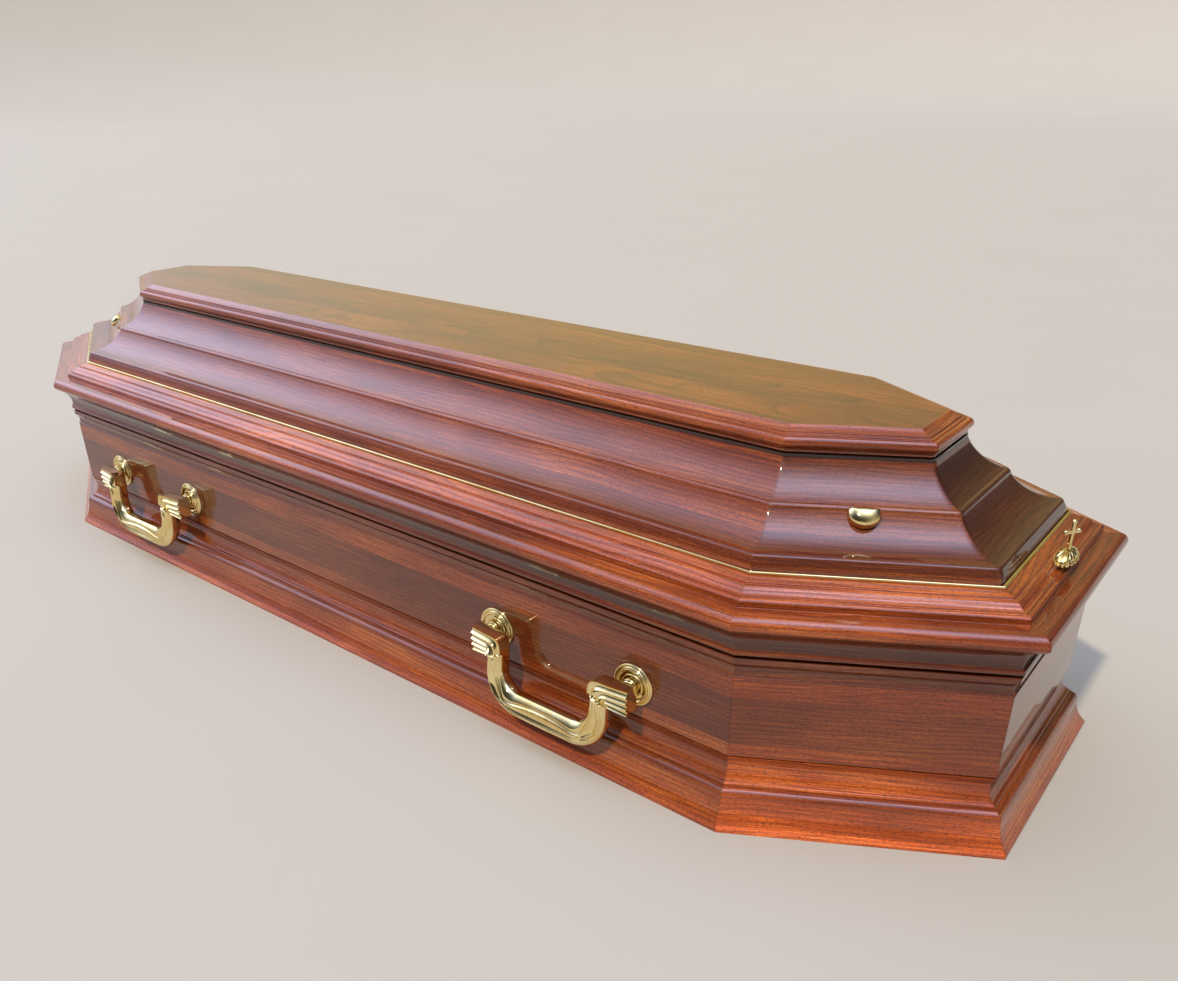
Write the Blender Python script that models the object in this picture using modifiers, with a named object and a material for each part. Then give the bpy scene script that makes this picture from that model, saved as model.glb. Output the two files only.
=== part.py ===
"""Eight-sided wooden coffin with a coved lid, bail handles and brass-coloured trim.

Units are metres and +Z is up. The head end is at +X, the foot end at -X, and the left
side is at -Y. The origin is under the middle of the box, on the surface it stands on.

Every moulded strip is one section, drawn as (inset, height) points, carried along one of
the eight sides and cut to a mitre at both ends. Inset is the distance inwards from the
outline of the foot of the base moulding.
"""

import math

import bmesh
import bpy
from mathutils import Matrix, Vector

# Plan of the base
LENGTH = 2.05
SHOULDER_WIDTH = 0.664
ANKLE_WIDTH = 0.652
HEAD_END_WIDTH = 0.336
FOOT_END_WIDTH = 0.332
SHOULDER_RUN = 0.288
ANKLE_RUN = 0.282

# Clearances between pieces that touch
JOINT_GAP = 0.0003
LID_GAP = 0.0003

# Boards of the box
WALL_INSET = 0.033
WALL_THICKNESS = 0.022
BOTTOM_THICKNESS = 0.018

# Base moulding
BASE_HEIGHT = 0.0895
BASE_FOOT_EDGE = 0.004
BASE_COVE_RUN = 0.0153
BASE_COVE_TOP = 0.0395
BASE_COVE_DEPTH = 0.0035
BASE_ROUND_RUN = 0.0077
BASE_ROUND_RISE = 0.0105
BASE_ROUND_SWELL = 0.0022
BASE_QUIRK = 0.0035
BASE_BEAD_RISE = 0.0045
BASE_BEAD_RUN = 0.002
BASE_BEAD_SWELL = 0.0012
BASE_SCOTIA_LIP = 0.0025
BASE_SCOTIA_DEPTH = 0.0055
BASE_GROOVE_DEPTH = 0.0035
BASE_GROOVE_HEIGHT = 0.0025

# Wall board and the cornice over it
WALL_HEIGHT = 0.109
CORNICE_HEIGHT = 0.0266
CORNICE_FILLET = 0.0021
CORNICE_SET_BACK = 0.002
CORNICE_COVE_RISE = 0.018
CORNICE_COVE_DEPTH = 0.0028
CORNICE_REACH = 0.0035

# Lid rim: shadow line, bead, large cove, rounded rim, flat flange and stepped moulding
SEAM_DEPTH = 0.0045
SEAM_HEIGHT = 0.0022
RIM_BEAD_RISE = 0.008
RIM_BEAD_RUN = 0.001
RIM_BEAD_SWELL = 0.0018
RIM_QUIRK = 0.0025
RIM_COVE_RISE = 0.0345
RIM_COVE_REACH = 0.0215
RIM_COVE_DEPTH = 0.0065
RIM_LIP_RISE = 0.004
RIM_LIP_REACH = 0.0035
RIM_EDGE_HEIGHT = 0.0024
RIM_ROUND_RUN = 0.0095
RIM_ROUND_RISE = 0.0114
RIM_ROUND_SWELL = 0.003
FLANGE_WIDTH = 0.0181
FLANGE_FALL = 0.0007
STEP_RISE = 0.0075
STEP_ROUND = 0.002
STEP_LEDGE = 0.0045
FINE_STEP = 0.002
OGEE_RUN = 0.0155
OGEE_RISE = 0.006
OGEE_SWELL = 0.0011
BAND_RUN = 0.0125
BAND_RISE = 0.0026
RIM_SHELF = 0.0278
RIM_SHELF_THICKNESS = 0.0235

# Metal strip in the angle at the foot of the lid slope
STRIP_WIDTH = 0.0036
STRIP_HEIGHT = 0.0034
STRIP_ROUND = 0.0013

# Lid slope: steep fillet, lower cove, arris roll and upper cove
SLOPE_FILLET_RUN = 0.0055
SLOPE_FILLET_RISE = 0.0165
SLOPE_FILLET_SWELL = 0.0009
SLOPE_EDGE_RUN = 0.0042
SLOPE_EDGE_RISE = 0.003
SLOPE_EDGE_SWELL = 0.0011
LOWER_COVE_RUN = 0.056
LOWER_COVE_RISE = 0.032
LOWER_COVE_DEPTH = 0.008
ARRIS_RUN = 0.007
ARRIS_RISE = 0.0055
ARRIS_SWELL = 0.0022
UPPER_COVE_RUN = 0.0435
UPPER_COVE_RISE = 0.0395
UPPER_COVE_DEPTH = 0.006
SLOPE_NECK = 0.0028
SLOPE_TOP_WIDTH = 0.02
SLOPE_BOARD_THICKNESS = 0.016

# Top plate
PLATE_OVERHANG = 0.0055
PLATE_THROAT = 0.007
PLATE_THROAT_HEIGHT = 0.0018
PLATE_FILLET_RISE = 0.0062
PLATE_FILLET_REACH = 0.0017
PLATE_FILLET_DEPTH = 0.0008
PLATE_LIP = 0.0018
PLATE_NOSE_RISE = 0.0104
PLATE_NOSE_RUN = 0.003
PLATE_NOSE_SWELL = 0.0024
PLATE_STEP_RISE = 0.0021
PLATE_STEP_RUN = 0.0045
PLATE_SLOPE_RUN = 0.0125
PLATE_SLOPE_RISE = 0.005
PLATE_SLOPE_DEPTH = 0.0006

# Carrying handles, two on each long side
HANDLE_SPREAD = 0.4693 * LENGTH
HANDLE_HEIGHT = 0.14
POST_SPACING = 0.228
BAIL_STANDOFF = 0.03
BAIL_LEAN = 0.007
BAIL_DROP = 0.085
BAIL_LIMB_SPACING = 0.172
BAIL_BEND_RADIUS = 0.031
BAIL_NECK_RADIUS = 0.016
BAIL_OUTER_SPAN = 0.257
BAIL_END_DROP = 0.01
BAIL_LIMB_WIDTH = 0.024
BAIL_GRIP_WIDTH = 0.037
BAIL_DEPTH = 0.027
BAIL_GROOVE_DEPTH = 0.0009
BAIL_CROWN = 0.7
EAR_END_WIDTH = 0.036
EAR_END_DEPTH = 0.023
EAR_SET_BACK = 0.0043
EAR_FLUTE_DEPTH = 0.0032
EAR_CROWN = 0.15
EAR_FLUTES = 4
POST_RADIUS = 0.0095
POST_SIDES = 12

# Handle rosettes
ROSETTE_RADIUS = 0.029
ROSETTE_RIM = 0.0035
ROSETTE_WAIST_RADIUS = 0.0235
ROSETTE_RING_HEIGHT = 0.0065
ROSETTE_DISH_RADIUS = 0.0165
ROSETTE_DISH_HEIGHT = 0.0048
ROSETTE_BOSS_RADIUS = 0.0125
ROSETTE_BOSS_HEIGHT = 0.0085
ROSETTE_SIDES = 16

# Shield bosses on the four corner slopes
SHIELD_WIDTH = 0.034
SHIELD_HEIGHT = 0.024
SHIELD_SWELL = 0.0055
SHIELD_EDGE = 0.0035
SHIELD_CROWN = 0.0065
SHIELD_BEVEL = 0.0052
SHIELD_OVERLAP = 0.0035
SHIELD_ARC_STEPS = 6

# Lid screw with a cross, at the head end
SCREW_INSET = 0.042
SCREW_BASE_LENGTH = 0.056
SCREW_BASE_WIDTH = 0.025
SCREW_BASE_RIM = 0.0025
SCREW_BASE_BRIM = 0.0016
SCREW_DOME_HEIGHT = 0.0095
SCREW_STEM_RADIUS = 0.0055
SCREW_CLEARANCE = 0.0006
SCREW_SIDES = 16
CROSS_HEIGHT = 0.038
CROSS_SPAN = 0.022
CROSS_BAR = 0.0038
CROSS_THICKNESS = 0.0032
CROSS_ARM_HEIGHT = 0.0255
CROSS_BUD_RADIUS = 0.0030
CROSS_TURN = -33.0

SIDE_NAMES = ("foot_left", "left", "head_left", "head", "head_right", "right", "foot_right", "foot")
LONG_SIDES = ("left", "right")
CORNER_SIDES = ("foot_left", "head_left", "head_right", "foot_right")


def plan_corners():
    """Eight corners of the foot of the base moulding, counter-clockwise from above."""
    half = [
        (-LENGTH / 2, FOOT_END_WIDTH / 2),
        (-LENGTH / 2 + ANKLE_RUN, ANKLE_WIDTH / 2),
        (LENGTH / 2 - SHOULDER_RUN, SHOULDER_WIDTH / 2),
        (LENGTH / 2, HEAD_END_WIDTH / 2),
    ]
    near = [Vector((x, -y)) for x, y in half]
    far = [Vector((x, y)) for x, y in reversed(half)]
    return near + far


CORNERS = plan_corners()
SIDE_COUNT = len(CORNERS)


def side_direction(index):
    """Unit vector along a side, from its first corner to its second."""
    start = CORNERS[index % SIDE_COUNT]
    end = CORNERS[(index + 1) % SIDE_COUNT]
    return (end - start).normalized()


def side_inward(index):
    """Unit vector that points from a side into the box."""
    along = side_direction(index)
    return Vector((-along.y, along.x))


def mitre_normal(index):
    """Normal of the mitre plane at the first corner of a side."""
    return (side_direction(index - 1) + side_direction(index)).normalized()


def inset_corner(index, inset):
    """Corner of the outline that runs at an inset from the base outline."""
    before = side_inward(index - 1)
    after = side_inward(index)
    bisector = (before + after).normalized()
    return CORNERS[index % SIDE_COUNT] + bisector * (inset / bisector.dot(after))


def inset_corners(inset):
    """All eight corners at an inset."""
    return [inset_corner(index, inset) for index in range(SIDE_COUNT)]


def side_middle(index, inset):
    """Middle of a side at an inset."""
    return (inset_corner(index, inset) + inset_corner(index + 1, inset)) / 2


def arc(start, end, bulge, steps):
    """Points after start, up to end, on the circular arc that bows out by bulge.

    A positive bulge swells to the left of the way from start to end.
    """
    first = Vector(start)
    last = Vector(end)
    chord = last - first
    half = chord.length / 2
    radius = (half * half + bulge * bulge) / (2 * abs(bulge))
    across = Vector((-chord.y, chord.x)).normalized()
    if bulge < 0:
        across = -across
    centre = (first + last) / 2 - across * (radius - abs(bulge))
    sweep = 2 * math.asin(min(1.0, half / radius))
    if bulge > 0:
        sweep = -sweep
    spoke = first - centre
    points = []
    for step in range(1, steps + 1):
        turned = spoke.copy()
        turned.rotate(Matrix.Rotation(sweep * step / steps, 2))
        points.append(tuple(centre + turned))
    return points


def moved(point, run, rise):
    """A profile point moved by a run inwards and a rise."""
    return (point[0] + run, point[1] + rise)


BACK_INSET = WALL_INSET + WALL_THICKNESS
WALL_BOTTOM = BASE_HEIGHT + JOINT_GAP
WALL_TOP = WALL_BOTTOM + WALL_HEIGHT
CORNICE_BOTTOM = WALL_TOP + JOINT_GAP
BOX_TOP = CORNICE_BOTTOM + CORNICE_HEIGHT
LID_BOTTOM = BOX_TOP + LID_GAP


def base_profile():
    """Section of the base moulding: foot, cove, rounded shoulder, bead, scotia, groove."""
    points = [(0.0, 0.0), (0.0, BASE_FOOT_EDGE)]
    points += arc(points[-1], (BASE_COVE_RUN, BASE_COVE_TOP), -BASE_COVE_DEPTH, 5)
    points += arc(points[-1], moved(points[-1], BASE_ROUND_RUN, BASE_ROUND_RISE), BASE_ROUND_SWELL, 4)
    points.append(moved(points[-1], BASE_QUIRK, 0.0))
    points += arc(points[-1], moved(points[-1], BASE_BEAD_RUN, BASE_BEAD_RISE), BASE_BEAD_SWELL, 3)
    points.append(moved(points[-1], BASE_SCOTIA_LIP, 0.0))
    scotia_top = (WALL_INSET + JOINT_GAP, BASE_HEIGHT - BASE_GROOVE_HEIGHT)
    points += arc(points[-1], scotia_top, -BASE_SCOTIA_DEPTH, 6)
    points.append((WALL_INSET + BASE_GROOVE_DEPTH, scotia_top[1]))
    points.append((WALL_INSET + BASE_GROOVE_DEPTH, BASE_HEIGHT))
    points += [(BACK_INSET, BASE_HEIGHT), (BACK_INSET, 0.0)]
    return points


def wall_profile():
    """Section of a wall board."""
    return [
        (WALL_INSET, WALL_BOTTOM),
        (WALL_INSET, WALL_TOP),
        (BACK_INSET, WALL_TOP),
        (BACK_INSET, WALL_BOTTOM),
    ]


def cornice_profile():
    """Section of the cornice on the wall: fillet, set-back and a cove that turns outwards."""
    points = [(WALL_INSET, CORNICE_BOTTOM)]
    points.append(moved(points[-1], 0.0, CORNICE_FILLET))
    points.append(moved(points[-1], CORNICE_SET_BACK, 0.0))
    cove_top = (WALL_INSET - CORNICE_REACH, points[-1][1] + CORNICE_COVE_RISE)
    points += arc(points[-1], cove_top, -CORNICE_COVE_DEPTH, 4)
    points.append((cove_top[0], BOX_TOP))
    points += [(BACK_INSET, BOX_TOP), (BACK_INSET, CORNICE_BOTTOM)]
    return points


def rim_face():
    """Visible face of the lid rim, from the seam up to the seat of the metal strip."""
    cornice_face = WALL_INSET - CORNICE_REACH
    points = [(cornice_face + SEAM_DEPTH, LID_BOTTOM)]
    points.append(moved(points[-1], 0.0, SEAM_HEIGHT))
    points.append((cornice_face, points[-1][1]))
    points += arc(points[-1], moved(points[-1], -RIM_BEAD_RUN, RIM_BEAD_RISE), RIM_BEAD_SWELL, 3)
    points.append(moved(points[-1], RIM_QUIRK, 0.0))
    points += arc(points[-1], moved(points[-1], -RIM_COVE_REACH, RIM_COVE_RISE), -RIM_COVE_DEPTH, 6)
    points.append(moved(points[-1], -RIM_LIP_REACH, RIM_LIP_RISE))
    points.append(moved(points[-1], 0.0, RIM_EDGE_HEIGHT))
    points += arc(points[-1], moved(points[-1], RIM_ROUND_RUN, RIM_ROUND_RISE), RIM_ROUND_SWELL, 5)
    points.append(moved(points[-1], FLANGE_WIDTH, FLANGE_FALL))
    points.append(moved(points[-1], 0.0, STEP_RISE))
    points.append(moved(points[-1], STEP_ROUND, STEP_ROUND))
    points.append(moved(points[-1], STEP_LEDGE, 0.0))
    points.append(moved(points[-1], 0.0, FINE_STEP))
    points += arc(points[-1], moved(points[-1], OGEE_RUN / 2, OGEE_RISE / 2), -OGEE_SWELL, 3)
    points += arc(points[-1], moved(points[-1], OGEE_RUN / 2, OGEE_RISE / 2), OGEE_SWELL, 3)
    points.append(moved(points[-1], FINE_STEP, 0.0))
    points.append(moved(points[-1], 0.0, FINE_STEP))
    points.append(moved(points[-1], BAND_RUN, BAND_RISE))
    return points


STRIP_SEAT = rim_face()[-1]
SHELF_HEIGHT = STRIP_SEAT[1]
SLOPE_INSET = STRIP_SEAT[0] + STRIP_WIDTH + JOINT_GAP
SLOPE_BOTTOM = SHELF_HEIGHT + JOINT_GAP
SHELF_INSET = STRIP_SEAT[0] + RIM_SHELF


def rim_profile():
    """Section of the lid rim with the shelf that the lid slope stands on."""
    shelf_under = SHELF_HEIGHT - RIM_SHELF_THICKNESS
    points = rim_face()
    points += [(SHELF_INSET, SHELF_HEIGHT), (SHELF_INSET, shelf_under)]
    points += [(BACK_INSET, shelf_under), (BACK_INSET, LID_BOTTOM)]
    return points


def strip_profile():
    """Section of the metal strip, with its outer top edge eased."""
    outer = STRIP_SEAT[0]
    inner = outer + STRIP_WIDTH
    top = SLOPE_BOTTOM + STRIP_HEIGHT
    return [
        (outer, SLOPE_BOTTOM),
        (outer, top - STRIP_ROUND),
        (outer + STRIP_ROUND, top),
        (inner, top),
        (inner, SLOPE_BOTTOM),
    ]


def slope_face():
    """Visible face of the lid slope, and the number of its point where the lower cove ends."""
    points = [(SLOPE_INSET, SLOPE_BOTTOM)]
    fillet_top = moved(points[-1], SLOPE_FILLET_RUN, SLOPE_FILLET_RISE)
    points += arc(points[-1], fillet_top, SLOPE_FILLET_SWELL, 2)
    points += arc(points[-1], moved(points[-1], SLOPE_EDGE_RUN, SLOPE_EDGE_RISE), SLOPE_EDGE_SWELL, 3)
    points += arc(points[-1], moved(points[-1], LOWER_COVE_RUN, LOWER_COVE_RISE), -LOWER_COVE_DEPTH, 7)
    cove_end = len(points) - 1
    points += arc(points[-1], moved(points[-1], ARRIS_RUN, ARRIS_RISE), ARRIS_SWELL, 4)
    points += arc(points[-1], moved(points[-1], UPPER_COVE_RUN, UPPER_COVE_RISE), -UPPER_COVE_DEPTH, 6)
    points.append(moved(points[-1], 0.0, SLOPE_NECK))
    return points, cove_end


SLOPE_FACE, COVE_END = slope_face()
SLOPE_TOP_INSET = SLOPE_FACE[-1][0]
SLOPE_TOP = SLOPE_FACE[-1][1]
PLATE_BOTTOM = SLOPE_TOP + JOINT_GAP


def slope_profile():
    """Section of a lid slope board, hollowed behind to an even thickness."""
    arris = SLOPE_FACE[COVE_END]
    points = list(SLOPE_FACE)
    points.append(moved(points[-1], SLOPE_TOP_WIDTH, 0.0))
    points.append(moved(points[-1], 0.0, -SLOPE_BOARD_THICKNESS))
    points.append(moved(arris, ARRIS_RUN + SLOPE_BOARD_THICKNESS, -SLOPE_BOARD_THICKNESS / 2))
    points.append(moved(arris, SLOPE_BOARD_THICKNESS * 0.8, -SLOPE_BOARD_THICKNESS * 1.2))
    points.append((SHELF_INSET, SLOPE_BOTTOM))
    return points


def plate_edge():
    """Section of the top plate's edge, from its underside to the flat top."""
    points = [(SLOPE_TOP_INSET + PLATE_THROAT, PLATE_BOTTOM)]
    points.append(moved(points[-1], 0.0, PLATE_THROAT_HEIGHT))
    points.append((SLOPE_TOP_INSET - PLATE_OVERHANG + PLATE_THROAT, points[-1][1]))
    fillet_top = moved(points[-1], -PLATE_FILLET_REACH, PLATE_FILLET_RISE)
    points += arc(points[-1], fillet_top, -PLATE_FILLET_DEPTH, 2)
    points.append(moved(points[-1], -PLATE_LIP, PLATE_LIP / 2))
    points += arc(points[-1], moved(points[-1], PLATE_NOSE_RUN, PLATE_NOSE_RISE), PLATE_NOSE_SWELL, 4)
    for _ in range(2):
        points.append(moved(points[-1], PLATE_STEP_RUN, 0.0))
        points.append(moved(points[-1], 0.0, PLATE_STEP_RISE))
    slope_top = moved(points[-1], PLATE_SLOPE_RUN, PLATE_SLOPE_RISE)
    points += arc(points[-1], slope_top, -PLATE_SLOPE_DEPTH, 3)
    return points


def clear_scene():
    """Remove the objects that a new file starts with."""
    for scene_object in list(bpy.data.objects):
        bpy.data.objects.remove(scene_object, do_unlink=True)


def new_collection(name):
    """Collection linked to the scene."""
    collection = bpy.data.collections.new(name)
    bpy.context.scene.collection.children.link(collection)
    return collection


def make_material(name, color, roughness, metallic):
    """Principled material."""
    material = bpy.data.materials.new(name)
    material.use_nodes = True
    shader = material.node_tree.nodes["Principled BSDF"]
    shader.inputs["Base Color"].default_value = (*color, 1.0)
    shader.inputs["Roughness"].default_value = roughness
    shader.inputs["Metallic"].default_value = metallic
    return material


def add_object(name, mesh, material, collection):
    """Object for a finished mesh."""
    if not mesh.materials:
        mesh.materials.append(material)
    part = bpy.data.objects.new(name, mesh)
    collection.objects.link(part)
    return part


def outline_curve(name, points, half_thickness, collection):
    """Flat closed outline with thickness, as a 2D curve object."""
    curve = bpy.data.curves.new(name, "CURVE")
    curve.dimensions = "2D"
    curve.fill_mode = "BOTH"
    curve.extrude = half_thickness
    spline = curve.splines.new("POLY")
    spline.points.add(len(points) - 1)
    for spline_point, (x, y) in zip(spline.points, points):
        spline_point.co = (x, y, 0.0, 1.0)
    spline.use_cyclic_u = True
    curve_object = bpy.data.objects.new(name, curve)
    collection.objects.link(curve_object)
    return curve_object


def curve_to_mesh(curve_object):
    """Mesh of a curve in world space, with its caps welded. The curve is removed."""
    depsgraph = bpy.context.evaluated_depsgraph_get()
    name = curve_object.name
    mesh = bpy.data.meshes.new_from_object(curve_object.evaluated_get(depsgraph))
    mesh.transform(curve_object.matrix_world)
    bpy.data.objects.remove(curve_object, do_unlink=True)
    body = bmesh.new()
    body.from_mesh(mesh)
    bmesh.ops.remove_doubles(body, verts=body.verts, dist=0.00001)
    bmesh.ops.recalc_face_normals(body, faces=body.faces)
    body.to_mesh(mesh)
    body.free()
    mesh.name = name
    return mesh


def cut_and_cap(body, point, normal):
    """Cut away what lies in front of a plane and close the cut."""
    geometry = body.verts[:] + body.edges[:] + body.faces[:]
    cut = bmesh.ops.bisect_plane(
        body, geom=geometry, plane_co=point, plane_no=normal, dist=0.000001, clear_outer=True
    )
    edges = [item for item in cut["geom_cut"] if isinstance(item, bmesh.types.BMEdge)]
    bmesh.ops.edgeloop_fill(body, edges=edges)


def side_frame(index):
    """Matrix whose X points into the box, Y up and Z along a side, from the side's middle."""
    inward = side_inward(index)
    along = side_direction(index)
    middle = side_middle(index, 0.0)
    frame = Matrix(
        (
            (inward.x, 0.0, along.x, middle.x),
            (inward.y, 0.0, along.y, middle.y),
            (0.0, 1.0, 0.0, 0.0),
            (0.0, 0.0, 0.0, 1.0),
        )
    )
    return frame


def moulded_strip(name, profile, index, material, collection):
    """Profile carried along one side of the coffin, mitred at both corners."""
    side_length = (CORNERS[(index + 1) % SIDE_COUNT] - CORNERS[index]).length
    strip_curve = outline_curve(name, profile, side_length, collection)
    strip_curve.matrix_world = side_frame(index)
    bpy.context.view_layer.update()
    mesh = curve_to_mesh(strip_curve)
    body = bmesh.new()
    body.from_mesh(mesh)
    for corner, facing in ((index, -1.0), (index + 1, 1.0)):
        normal = mitre_normal(corner) * facing
        point = CORNERS[corner % SIDE_COUNT] - normal * (JOINT_GAP / 2)
        cut_and_cap(body, point.to_3d(), normal.to_3d())
    bmesh.ops.recalc_face_normals(body, faces=body.faces)
    body.to_mesh(mesh)
    body.free()
    smooth_mesh(mesh, 28)
    return add_object(name, mesh, material, collection)


def moulded_ring(prefix, profile, material, collection):
    """Eight mitred strips of one profile, one for each side."""
    for index, side_name in enumerate(SIDE_NAMES):
        moulded_strip(f"{prefix}_{side_name}", profile, index, material, collection)


def loft_outlines(body, levels):
    """Rings of faces through the plan's outline at each (inset, height) level."""
    rings = []
    for inset, height in levels:
        corners = [Vector((corner.x, corner.y, height)) for corner in inset_corners(inset)]
        rings.append([body.verts.new(corner) for corner in corners])
    for lower, upper in zip(rings, rings[1:]):
        for corner in range(SIDE_COUNT):
            following = (corner + 1) % SIDE_COUNT
            body.faces.new((lower[corner], lower[following], upper[following], upper[corner]))
    return rings


def build_bottom_board(material, collection):
    """Flat board that closes the base, let in between the base mouldings."""
    inset = BACK_INSET + JOINT_GAP
    outline = [tuple(corner) for corner in inset_corners(inset)]
    board = outline_curve("bottom_board", outline, BOTTOM_THICKNESS / 2, collection)
    board.location.z = BOTTOM_THICKNESS / 2
    bpy.context.view_layer.update()
    add_object("bottom_board", curve_to_mesh(board), material, collection)


def build_top_plate(material, collection):
    """Flat eight-sided board with a moulded edge, on top of the lid slopes."""
    body = bmesh.new()
    rings = loft_outlines(body, plate_edge())
    body.faces.new(list(reversed(rings[0])))
    body.faces.new(rings[-1])
    bmesh.ops.recalc_face_normals(body, faces=body.faces)
    mesh = bpy.data.meshes.new("top_plate")
    body.to_mesh(mesh)
    body.free()
    add_object("top_plate", mesh, material, collection)


def build_metal_strip(material, collection):
    """One metal strip, bent round all eight sides at the foot of the lid slope."""
    profile = strip_profile()
    body = bmesh.new()
    rings = loft_outlines(body, profile)
    for corner in range(SIDE_COUNT):
        following = (corner + 1) % SIDE_COUNT
        last = rings[-1]
        first = rings[0]
        body.faces.new((last[corner], last[following], first[following], first[corner]))
    bmesh.ops.recalc_face_normals(body, faces=body.faces)
    mesh = bpy.data.meshes.new("lid_metal_strip")
    body.to_mesh(mesh)
    body.free()
    add_object("lid_metal_strip", mesh, material, collection)


def blend(plain, full, share):
    """Value between plain, at a share of 0, and full, at a share of 1."""
    return plain + (full - plain) * share


def bail_half_path():
    """Right half of the handle's centre line, from the bottom middle to its outer end.

    Points are (along the side, height) from the middle between the two rosettes.
    """
    limb = BAIL_LIMB_SPACING / 2
    bend = BAIL_BEND_RADIUS
    neck = BAIL_NECK_RADIUS
    end_height = -BAIL_END_DROP
    points = [(0.0, -BAIL_DROP), (limb * 0.4, -BAIL_DROP)]
    points += [
        (
            limb - bend + bend * math.sin(math.radians(angle)),
            -BAIL_DROP + bend - bend * math.cos(math.radians(angle)),
        )
        for angle in (0, 22, 45, 68, 90)
    ]
    points += [
        (
            limb + neck - neck * math.cos(math.radians(angle)),
            end_height - neck + neck * math.sin(math.radians(angle)),
        )
        for angle in (0, 30, 60, 90)
    ]
    ear_start = limb + neck
    ear_end = BAIL_OUTER_SPAN / 2
    points += [(blend(ear_start, ear_end, share), end_height) for share in (0.5, 1.0)]
    return points


def bail_path():
    """Centre line of the whole handle, from its left end to its right end."""
    right = bail_half_path()
    left = [(-along, height) for along, height in reversed(right[1:])]
    return left + right


def ear_share(along):
    """How far a place on the handle is on its way to the outer end of an ear, 0 to 1."""
    start = BAIL_LIMB_SPACING / 2
    reach = BAIL_OUTER_SPAN / 2 - start
    return max(0.0, (abs(along) - start) / reach)


def grip_share(height):
    """How far a place on the bail is on its way down to the thick grip, 0 to 1."""
    bend_top = BAIL_DROP - BAIL_BEND_RADIUS
    return min(1.0, max(0.0, (-height - bend_top) / BAIL_BEND_RADIUS))


def bail_out(point):
    """Distance from the wall's face to the handle's centre line at a (along, height) point."""
    lean = BAIL_LEAN * (-BAIL_END_DROP - point.y) / (BAIL_DROP - BAIL_END_DROP)
    return BAIL_STANDOFF + lean - EAR_SET_BACK * ear_share(point.x)


def bail_section(point):
    """Section of the handle at a (along, height) point: a flat back and a fluted, crowned front.

    It goes from the thick grip through the slim limbs to the deep fluted ears.
    """
    share = ear_share(point.x)
    bail_width = blend(BAIL_LIMB_WIDTH, BAIL_GRIP_WIDTH, grip_share(point.y))
    half_width = blend(bail_width, EAR_END_WIDTH, min(1.0, share * 1.6)) / 2
    half_depth = blend(BAIL_DEPTH, EAR_END_DEPTH, share) / 2
    crown = blend(BAIL_CROWN, EAR_CROWN, min(1.0, share * 2))
    flute = blend(BAIL_GROOVE_DEPTH, EAR_FLUTE_DEPTH, min(1.0, share * 2))
    back_corner = half_width * 0.75
    points = [(back_corner, -half_depth), (-back_corner, -half_depth)]
    points.append((-half_width, -half_depth * 0.45))
    ridge_steps = 2 * EAR_FLUTES
    for step in range(ridge_steps + 1):
        turn = step / ridge_steps * 2 - 1
        height = half_depth * (1.0 - crown * turn * turn)
        valley = flute if step % 2 == 0 else 0.0
        points.append((half_width * turn, height - valley))
    points.append((half_width, -half_depth * 0.45))
    return points


def sweep_bail():
    """Mesh of the bail: its fluted section carried along its centre line."""
    path = [Vector(point) for point in bail_path()]
    body = bmesh.new()
    rings = []
    for number, point in enumerate(path):
        before = path[max(number - 1, 0)]
        after = path[min(number + 1, len(path) - 1)]
        forward = (after - before).normalized()
        across = Vector((-forward.y, forward.x))
        ring = []
        out = bail_out(point)
        for width, depth in bail_section(point):
            place = point + across * width
            ring.append(body.verts.new((place.x, -out - depth, place.y)))
        rings.append(ring)
    count = len(rings[0])
    for left, right in zip(rings, rings[1:]):
        for corner in range(count):
            following = (corner + 1) % count
            body.faces.new((left[corner], left[following], right[following], right[corner]))
    body.faces.new(list(reversed(rings[0])))
    body.faces.new(rings[-1])
    bmesh.ops.recalc_face_normals(body, faces=body.faces)
    mesh = bpy.data.meshes.new("handle")
    body.to_mesh(mesh)
    body.free()
    return mesh


def handle_mesh(cutters):
    """Mesh of one cast handle: the bail with its two posts joined on.

    The handle's own frame has X along the side, Y into the box and Z up. Its origin is
    on the wall's face, in the middle between the two rosettes.
    """
    mesh = sweep_bail()
    bail = bpy.data.objects.new("handle_casting", mesh)
    cutters.objects.link(bail)
    post_start = -(JOINT_GAP * 2 + ROSETTE_BOSS_HEIGHT)
    post_end = -BAIL_STANDOFF
    for end in (-1.0, 1.0):
        bpy.ops.mesh.primitive_cylinder_add(
            vertices=POST_SIDES,
            radius=POST_RADIUS,
            depth=post_start - post_end,
            location=(end * POST_SPACING / 2, (post_start + post_end) / 2, -BAIL_END_DROP / 2),
            rotation=(math.pi / 2, 0.0, 0.0),
        )
        post = bpy.context.object
        post.name = "handle_post"
        post.display_type = "WIRE"
        post.hide_render = True
        move_to_collection(post, cutters)
        join = bail.modifiers.new("join_post", "BOOLEAN")
        join.operation = "UNION"
        join.solver = "EXACT"
        join.object = post
    bpy.context.view_layer.update()
    depsgraph = bpy.context.evaluated_depsgraph_get()
    casting = bpy.data.meshes.new_from_object(bail.evaluated_get(depsgraph))
    casting.name = "handle"
    casting.materials.clear()
    bail.display_type = "WIRE"
    bail.hide_render = True
    return casting


def move_to_collection(scene_object, collection):
    """Link an object to one collection only."""
    for owner in list(scene_object.users_collection):
        owner.objects.unlink(scene_object)
    collection.objects.link(scene_object)


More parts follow.
